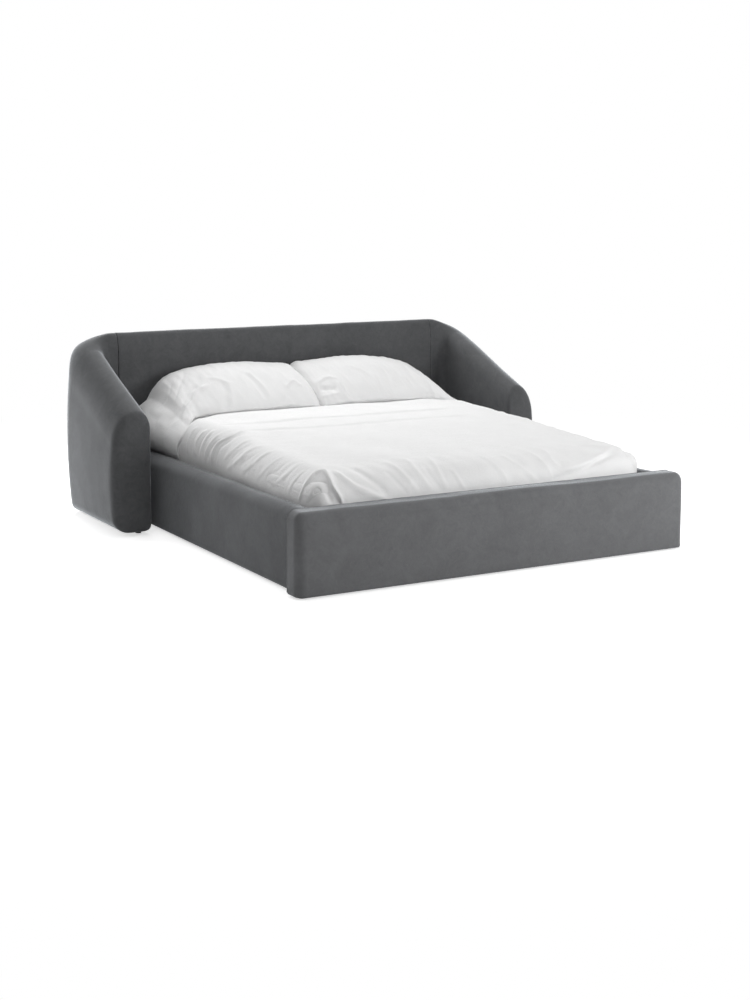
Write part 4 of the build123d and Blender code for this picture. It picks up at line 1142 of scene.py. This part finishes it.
def coverlet_folds(flat):
    """Height of all the coverlet's folds and creases over its flat places."""
    space = np.column_stack([flat, np.zeros(len(flat))])
    side = smooth_step((np.abs(flat[:, 0]) - SIDE_FOLDS_START) / 0.18)
    foot = smooth_step((FOOT_FOLDS_START - flat[:, 1]) / 0.16)
    side, foot = side * (1 - foot), foot * (1 - side)
    rise = creased(flat, COVERLET_FOLDS)
    rise += 0.0020 * waves(space, 0.36, 83) + 0.0006 * waves(space, 0.13, 84)
    rise += 0.0006 * side * waves(space, 0.060, 85, 16, (2.5, 1, 1))
    rise += 0.0006 * foot * waves(space, 0.070, 86, 16, (1, 2.5, 1))
    rise += 0.0003 * waves(space, 0.050, 87, 14, (3, 1, 1))
    return rise


def bordered(rows, columns, step):
    """Faces that join a grid's border to a coarser grid under it, which takes each step-th point."""
    low_columns = (columns - 1) // step + 1
    low_rows = (rows - 1) // step + 1
    start = rows * columns

    def high(row, column):
        return row * columns + column

    def low(row, column):
        return start + row // step * low_columns + column // step

    places = [(0, c) for c in range(columns)] + [(r, columns - 1) for r in range(1, rows)]
    places += [(rows - 1, c) for c in range(columns - 2, -1, -1)]
    places += [(r, 0) for r in range(rows - 2, -1, -1)]
    faces = grid_faces(low_rows, low_columns, start)
    for index in range(0, len(places) - 1, step):
        run = places[index:index + step + 1]
        faces.append(tuple([high(*place_at) for place_at in run] + [low(*run[-1]), low(*run[0])]))
    return faces


def make_coverlet():
    """The coverlet: its outer cloth with folds, its rolled head edge and its lining."""
    flat_x, flat_y = coverlet_grid()
    rows, columns = COVERLET_ROWS, COVERLET_COLUMNS
    outer = draped(flat_x, flat_y, OUTER_BLOCK, coverlet_top)
    grid = outer.reshape(rows, columns, 3)
    facing = grid_normals(np.gradient(grid, axis=1), np.gradient(grid, axis=0))
    rise = coverlet_folds(np.column_stack([flat_x, flat_y]))
    # Folds fade out below the rails' tops and are lower at the head edge
    room = smooth_step((outer[:, 2] - RAIL_TOP + 0.02) / 0.05)
    head = smooth_step((head_edge(flat_x) - flat_y) / 0.03)
    outer = outer + facing * (rise * room * (0.3 + 0.7 * head))[:, None]
    pick = np.arange(rows * columns).reshape(rows, columns)[::LINING_STEP, ::LINING_STEP].ravel()
    lining = draped(flat_x[pick], flat_y[pick], LINING_BLOCK, sheet_top)
    gap = np.sum((outer[pick] - lining) * facing[pick], axis=1)
    # The lining gives way where a deep fold would come through it
    lining = lining - facing[pick] * np.maximum(LINING_DEPTH - gap, 0)[:, None]
    points = np.concatenate([outer, lining])
    faces = grid_faces(rows, columns) + bordered(rows, columns, LINING_STEP)
    cover = piece("coverlet_cloth", points, faces, "coverlet", "white_linen", LINEN)
    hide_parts("coverlet")


# ---------------------------------------------------------------- pillows
def smooth_ring(points, count):
    """Evenly spaced points on a smooth closed curve through a few places."""
    points = np.array(points)
    runs = [spline(*np.roll(points, 1 - index, axis=0)[:4], 24) for index in range(len(points))]
    dense = np.concatenate(runs + [runs[0][:1]])
    length = run_lengths(dense)
    wanted = np.linspace(0, length[-1], count, endpoint=False)
    return np.column_stack([np.interp(wanted, length, dense[:, k]) for k in range(2)])


PILLOW_SECTION = (
    (0.05, 0.0), (0.50, 0.0), (0.93, 0.0), (0.99, 0.15), (1.0, 0.5), (0.985, 0.82), (0.93, 0.965),
    (0.85, 1.0), (0.74, 0.985), (0.55, 0.895), (0.36, 0.755), (0.19, 0.60), (0.06, 0.455), (0.0, 0.355),
    (-0.004, 0.27), (0.012, 0.12),
)
PILLOW_POINTS = 210
PILLOW_FLOOR = SHEET_HIGH[2] + OVER_SHEET
PILLOW_FRONT = PILLOW_LOW[1] - 0.0005
PILLOW_BACK = HEAD_FACE - 0.006
PILLOW_TALL = 0.321
PILLOW_FLAP_FORWARD = 0.143
FLAP_START = 0.74
FLAP_TURN = 0.17
# Run across the mattress, and the share of the full height there
PILLOW_HEIGHTS = np.array((
    (0.004, 0.840), (0.010, 0.900), (0.022, 0.945), (0.050, 0.975), (0.120, 0.990), (0.300, 1.020),
    (0.480, 1.020), (0.620, 0.975), (0.720, 0.905), (0.770, 0.835), (0.800, 0.765), (0.825, 0.655),
    (0.848, 0.520), (0.868, 0.410), (0.885, 0.330), (0.905, 0.290), (0.930, 0.240), (0.970, 0.170),
    (1.000, 0.045), (1.020, 0.020), (1.060, 0.014),
))
# Run near the bed's middle, the share of the full depth there, and the shift forward
PILLOW_END = np.array(((0.004, 0.880, 0.050), (0.010, 0.940, 0.025), (0.022, 0.975, 0.010), (0.050, 1, 0)))
# Path of (run across, arc up from the front's foot), half width, height and any lean of each fold
LEFT_PILLOW_FOLDS = (
    (((0.89, 0.27), (0.83, 0.24), (0.75, 0.255), (0.69, 0.33), (0.6, 0.37)), 0.017, 0.0093, -0.3),
    (((0.88, 0.31), (0.81, 0.285), (0.745, 0.325), (0.67, 0.385)), 0.017, -0.0056),
    (((0.53, 0.37), (0.55, 0.25), (0.61, 0.12)), 0.016, -0.004),
    (((0.49, 0.38), (0.52, 0.24), (0.57, 0.12)), 0.015, 0.004),
    (((0.38, 0.48), (0.34, 0.34), (0.33, 0.18)), 0.015, -0.0037),
    (((0.35, 0.47), (0.305, 0.32), (0.296, 0.17)), 0.014, 0.004),
    (((0.24, 0.48), (0.226, 0.32), (0.226, 0.18)), 0.015, 0.0034),
    (((0.18, 0.28), (0.11, 0.34), (0.07, 0.28)), 0.013, 0.0037),
    (((0.86, 0.114), (0.66, 0.116), (0.4, 0.118), (0.18, 0.119), (-0.05, 0.12)), 0.009, -0.028),
    (((0.8, 0.113), (0.72, 0.116), (0.64, 0.117)), 0.01, -0.03),
    (((0.3, 0.119), (0.22, 0.121), (0.14, 0.12)), 0.011, -0.048),
    (((0.61, 0.43), (0.55, 0.405), (0.47, 0.32)), 0.014, 0.0034),
    (((0.785, 0.5), (0.82, 0.46), (0.87, 0.49)), 0.01, -0.0028),
    (((0.67, 0.57), (0.75, 0.44), (0.83, 0.36)), 0.011, -0.0034),
    (((0.88, 0.4), (0.9, 0.38), (0.95, 0.36)), 0.01, 0.0037),
    (((0.87, 0.28), (0.91, 0.26), (0.96, 0.25)), 0.01, 0.0037),
)
RIGHT_PILLOW_FOLDS = (
    (((0.175, 0.335), (0.156, 0.226), (0.173, 0.151), (0.26, 0.11)), 0.014, 0.0083, 0.3),
    (((0.03, 0.265), (0.076, 0.255), (0.135, 0.25)), 0.02, -0.0112),
    (((0.025, 0.304), (0.11, 0.355), (0.185, 0.325)), 0.014, 0.006),
    (((0.01, 0.197), (0.07, 0.2), (0.14, 0.21)), 0.013, 0.0045),
    (((0.63, 0.4), (0.66, 0.265), (0.72, 0.15)), 0.016, 0.0045),
    (((0.86, 0.114), (0.66, 0.116), (0.4, 0.118), (0.18, 0.119), (-0.05, 0.12)), 0.009, -0.028),
    (((0.48, 0.119), (0.34, 0.121), (0.22, 0.121), (0.08, 0.12)), 0.011, -0.048),
    (((0.82, 0.114), (0.72, 0.118), (0.58, 0.119)), 0.011, -0.048),
    (((0.27, 0.47), (0.375, 0.37), (0.41, 0.23)), 0.015, 0.0045),
    (((0.46, 0.52), (0.525, 0.405), (0.515, 0.24)), 0.015, 0.0041),
    (((0.78, 0.48), (0.82, 0.4), (0.86, 0.33)), 0.013, -0.0041),
    (((0.86, 0.28), (0.91, 0.26), (0.96, 0.25)), 0.01, 0.0045),
)

def pillow_path(run):
    """Where a run over the mattress's top and down its side comes to, and its lean."""
    start = SHEET_HIGH[0] + OVER_SHEET - MATTRESS_EDGE
    lean = np.clip((run - start) / MATTRESS_EDGE, 0, QUARTER)
    past = max(run - start - MATTRESS_EDGE * QUARTER, 0)
    x = min(run, start) + MATTRESS_EDGE * math.sin(lean)
    return x, PILLOW_FLOOR - MATTRESS_EDGE * (1 - math.cos(lean)) - past, lean


def pillow_rings():
    """Rings of the right pillow's case from the bed's middle, and the flat places of their points."""
    section = smooth_ring(PILLOW_SECTION, PILLOW_POINTS)
    loop = np.concatenate([section, section[:1]]) * (PILLOW_BACK - PILLOW_FRONT, PILLOW_TALL)
    length = run_lengths(loop)
    # Closer together at the rounded end and over the mattress's edge
    runs = np.concatenate([
        np.linspace(0.004, 0.05, 10)[:-1], np.linspace(0.05, 0.78, 124)[:-1], np.linspace(0.78, 1.06, 70),
    ])
    rings = []
    for run in runs:
        height = np.interp(run, *PILLOW_HEIGHTS.T)
        deep, shift = (np.interp(run, PILLOW_END[:, 0], PILLOW_END[:, k]) for k in (1, 2))
        front = PILLOW_FRONT - PILLOW_FLAP_FORWARD * smooth_step((run - FLAP_START) / FLAP_TURN)
        y = front + (PILLOW_BACK - front) * (shift + section[:, 0] * deep)
        stand = PILLOW_TALL * section[:, 1] * height
        x, z, lean = pillow_path(run)
        rings.append(np.column_stack([x + math.sin(lean) * stand, y, z + math.cos(lean) * stand]))
    arc = length[-1] - length[:-1]
    return rings, np.column_stack([np.repeat(runs, PILLOW_POINTS), np.tile(arc, len(runs))])


def make_pillows():
    """Both pillows in their loose cases, creased differently."""
    rings, flat = pillow_rings()
    skin, faces = closed_rings(rings)
    grid = np.array(rings)
    around = np.roll(grid, -1, axis=1) - np.roll(grid, 1, axis=1)
    facing = grid_normals(around, np.gradient(grid, axis=0))
    # Creases fade out towards the hanging end and under the pillow
    full = np.interp(flat[:, 0], *PILLOW_HEIGHTS.T)
    room = smooth_step((full - 0.02) / 0.20) * smooth_step((flat[:, 1] - 0.02) / 0.04)
    room = room * smooth_step((0.93 - flat[:, 1]) / 0.15)
    for side, folds, seed in (("right", RIGHT_PILLOW_FOLDS, 97), ("left", LEFT_PILLOW_FOLDS, 103)):
        rise = creased(flat, folds) + 0.0020 * waves(skin, 0.34, seed)
        rise += 0.0005 * waves(skin, 0.12, seed + 1)
        rise += 0.0009 * waves(skin, 0.040, seed + 2, 18, (1, 3, 3))
        points = skin + facing * (rise * room)[:, None]
        if side == "left":
            points = points * (-1, 1, 1)
        pillow = piece(f"{side}_pillow_case", points, faces, f"{side}_pillow", "white_linen", LINEN)
        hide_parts(f"{side}_pillow")


# ---------------------------------------------------------------- floor, lights and camera
SKY = 0.10
FLOOR_LIFT = 0.62
LAMPS = (
    # name, place, aim, size, power in watts
    ("overhead_softbox", (-0.6, 0.2, 4.2), (0.0, 0.1, 0.4), 4.0, 62.0),
    ("low_left_softbox", (-2.35, 2.4, 0.55), (-1.3, 0.8, 0.4), 1.0, 30.0),
    ("left_softbox", (-3.4, -3.0, 3.0), (-0.5, 0.0, 0.4), 2.5, 31.0),
    ("right_softbox", (2.6, -4.2, 1.6), (0.0, -0.8, 0.3), 2.0, 130.0),
    ("rear_softbox", (0.0, 3.4, 3.4), (0.0, 0.4, 0.5), 2.5, 168.0),
)
CAMERA_PLACE = (-4.1177, -7.3123, 1.7358)
CAMERA_PITCH = math.radians(90 - 5.084)
CAMERA_TURN = math.radians(-29.416)


def seen_by_eye(made):
    """1 for rays that show the background: from the camera, or by way of gloss or glass."""
    path = made.add("LightPath").outputs
    direct = made.maths("MAXIMUM", path["Is Camera Ray"], path["Is Glossy Ray"])
    return made.maths("MAXIMUM", direct, path["Is Transmission Ray"])


def make_floor():
    """A wide pale floor that fades to white."""
    bpy.ops.mesh.primitive_circle_add(vertices=96, radius=40, fill_type="NGON")
    floor = bpy.context.object
    floor.name = "studio_floor"
    made = Finish(bpy.data.materials.new("floor_paint"))
    made.set(Base_Color=(0.86, 0.86, 0.86), Roughness=0.9, Specular_IOR_Level=0.0)
    paint = made.shader.outputs[0]
    lift = made.add("Emission", Strength=FLOOR_LIFT).outputs[0]
    glow = made.add("Emission", Strength=1.0).outputs[0]
    place = made.add("TexCoord").outputs["Object"]
    far = made.add("VectorMath", place, operation="LENGTH").outputs["Value"]
    fade = made.add("MapRange", far, interpolation_type="SMOOTHSTEP", From_Min=2.0, From_Max=5.0)
    lifted = made.add("AddShader", paint, lift).outputs[0]
    near_or_far = made.add("MixShader", fade.outputs["Result"], lifted, glow).outputs[0]
    seen = made.add("MixShader", seen_by_eye(made), paint, near_or_far).outputs[0]
    made.give(made.tree.nodes["Material Output"].inputs["Surface"], seen)
    floor.data.materials.append(made.owner)


def make_world():
    """An even sky that gives soft light and shows as white."""
    world = bpy.data.worlds.new("studio")
    bpy.context.scene.world = world
    made = Finish(world)
    sky = made.tree.nodes["Background"]
    made.give(sky.inputs["Color"], (1, 1, 1))
    made.give(sky.inputs["Strength"], SKY)
    white = made.add("Background", Color=(1, 1, 1), Strength=1.0)
    mix = made.add("MixShader", seen_by_eye(made), sky.outputs[0], white.outputs[0])
    made.give(made.tree.nodes["World Output"].inputs["Surface"], mix.outputs[0])


def make_lamps():
    """Square soft lamps, each turned towards its aim."""
    for name, place_at, aim, size, power in LAMPS:
        light = bpy.data.lights.new(name, "AREA")
        light.shape = "SQUARE"
        light.size = size
        light.energy = power
        lamp = bpy.data.objects.new(name, light)
        bpy.context.scene.collection.objects.link(lamp)
        lamp.location = place_at
        way = np.array(aim) - np.array(place_at)
        tilt = math.atan2(math.hypot(way[0], way[1]), -way[2])
        lamp.rotation_euler = (tilt, 0.0, math.atan2(-way[0], way[1]))


def make_camera():
    """A long lens at standing height, off the bed's left foot corner."""
    data = bpy.data.cameras.new("camera")
    data.sensor_width = 36
    data.lens = 57.96
    data.shift_y = -0.16
    made = bpy.data.objects.new("camera", data)
    bpy.context.scene.collection.objects.link(made)
    made.location = CAMERA_PLACE
    made.rotation_euler = (CAMERA_PITCH, 0.0, CAMERA_TURN)
    bpy.context.scene.camera = made


make_wings()
make_headboard()
make_footboard()
make_welt()
make_rails()
make_mattress()
make_coverlet()
make_pillows()
make_floor()
make_world()
make_lamps()
make_camera()
bpy.context.scene.view_settings.view_transform = "Standard"
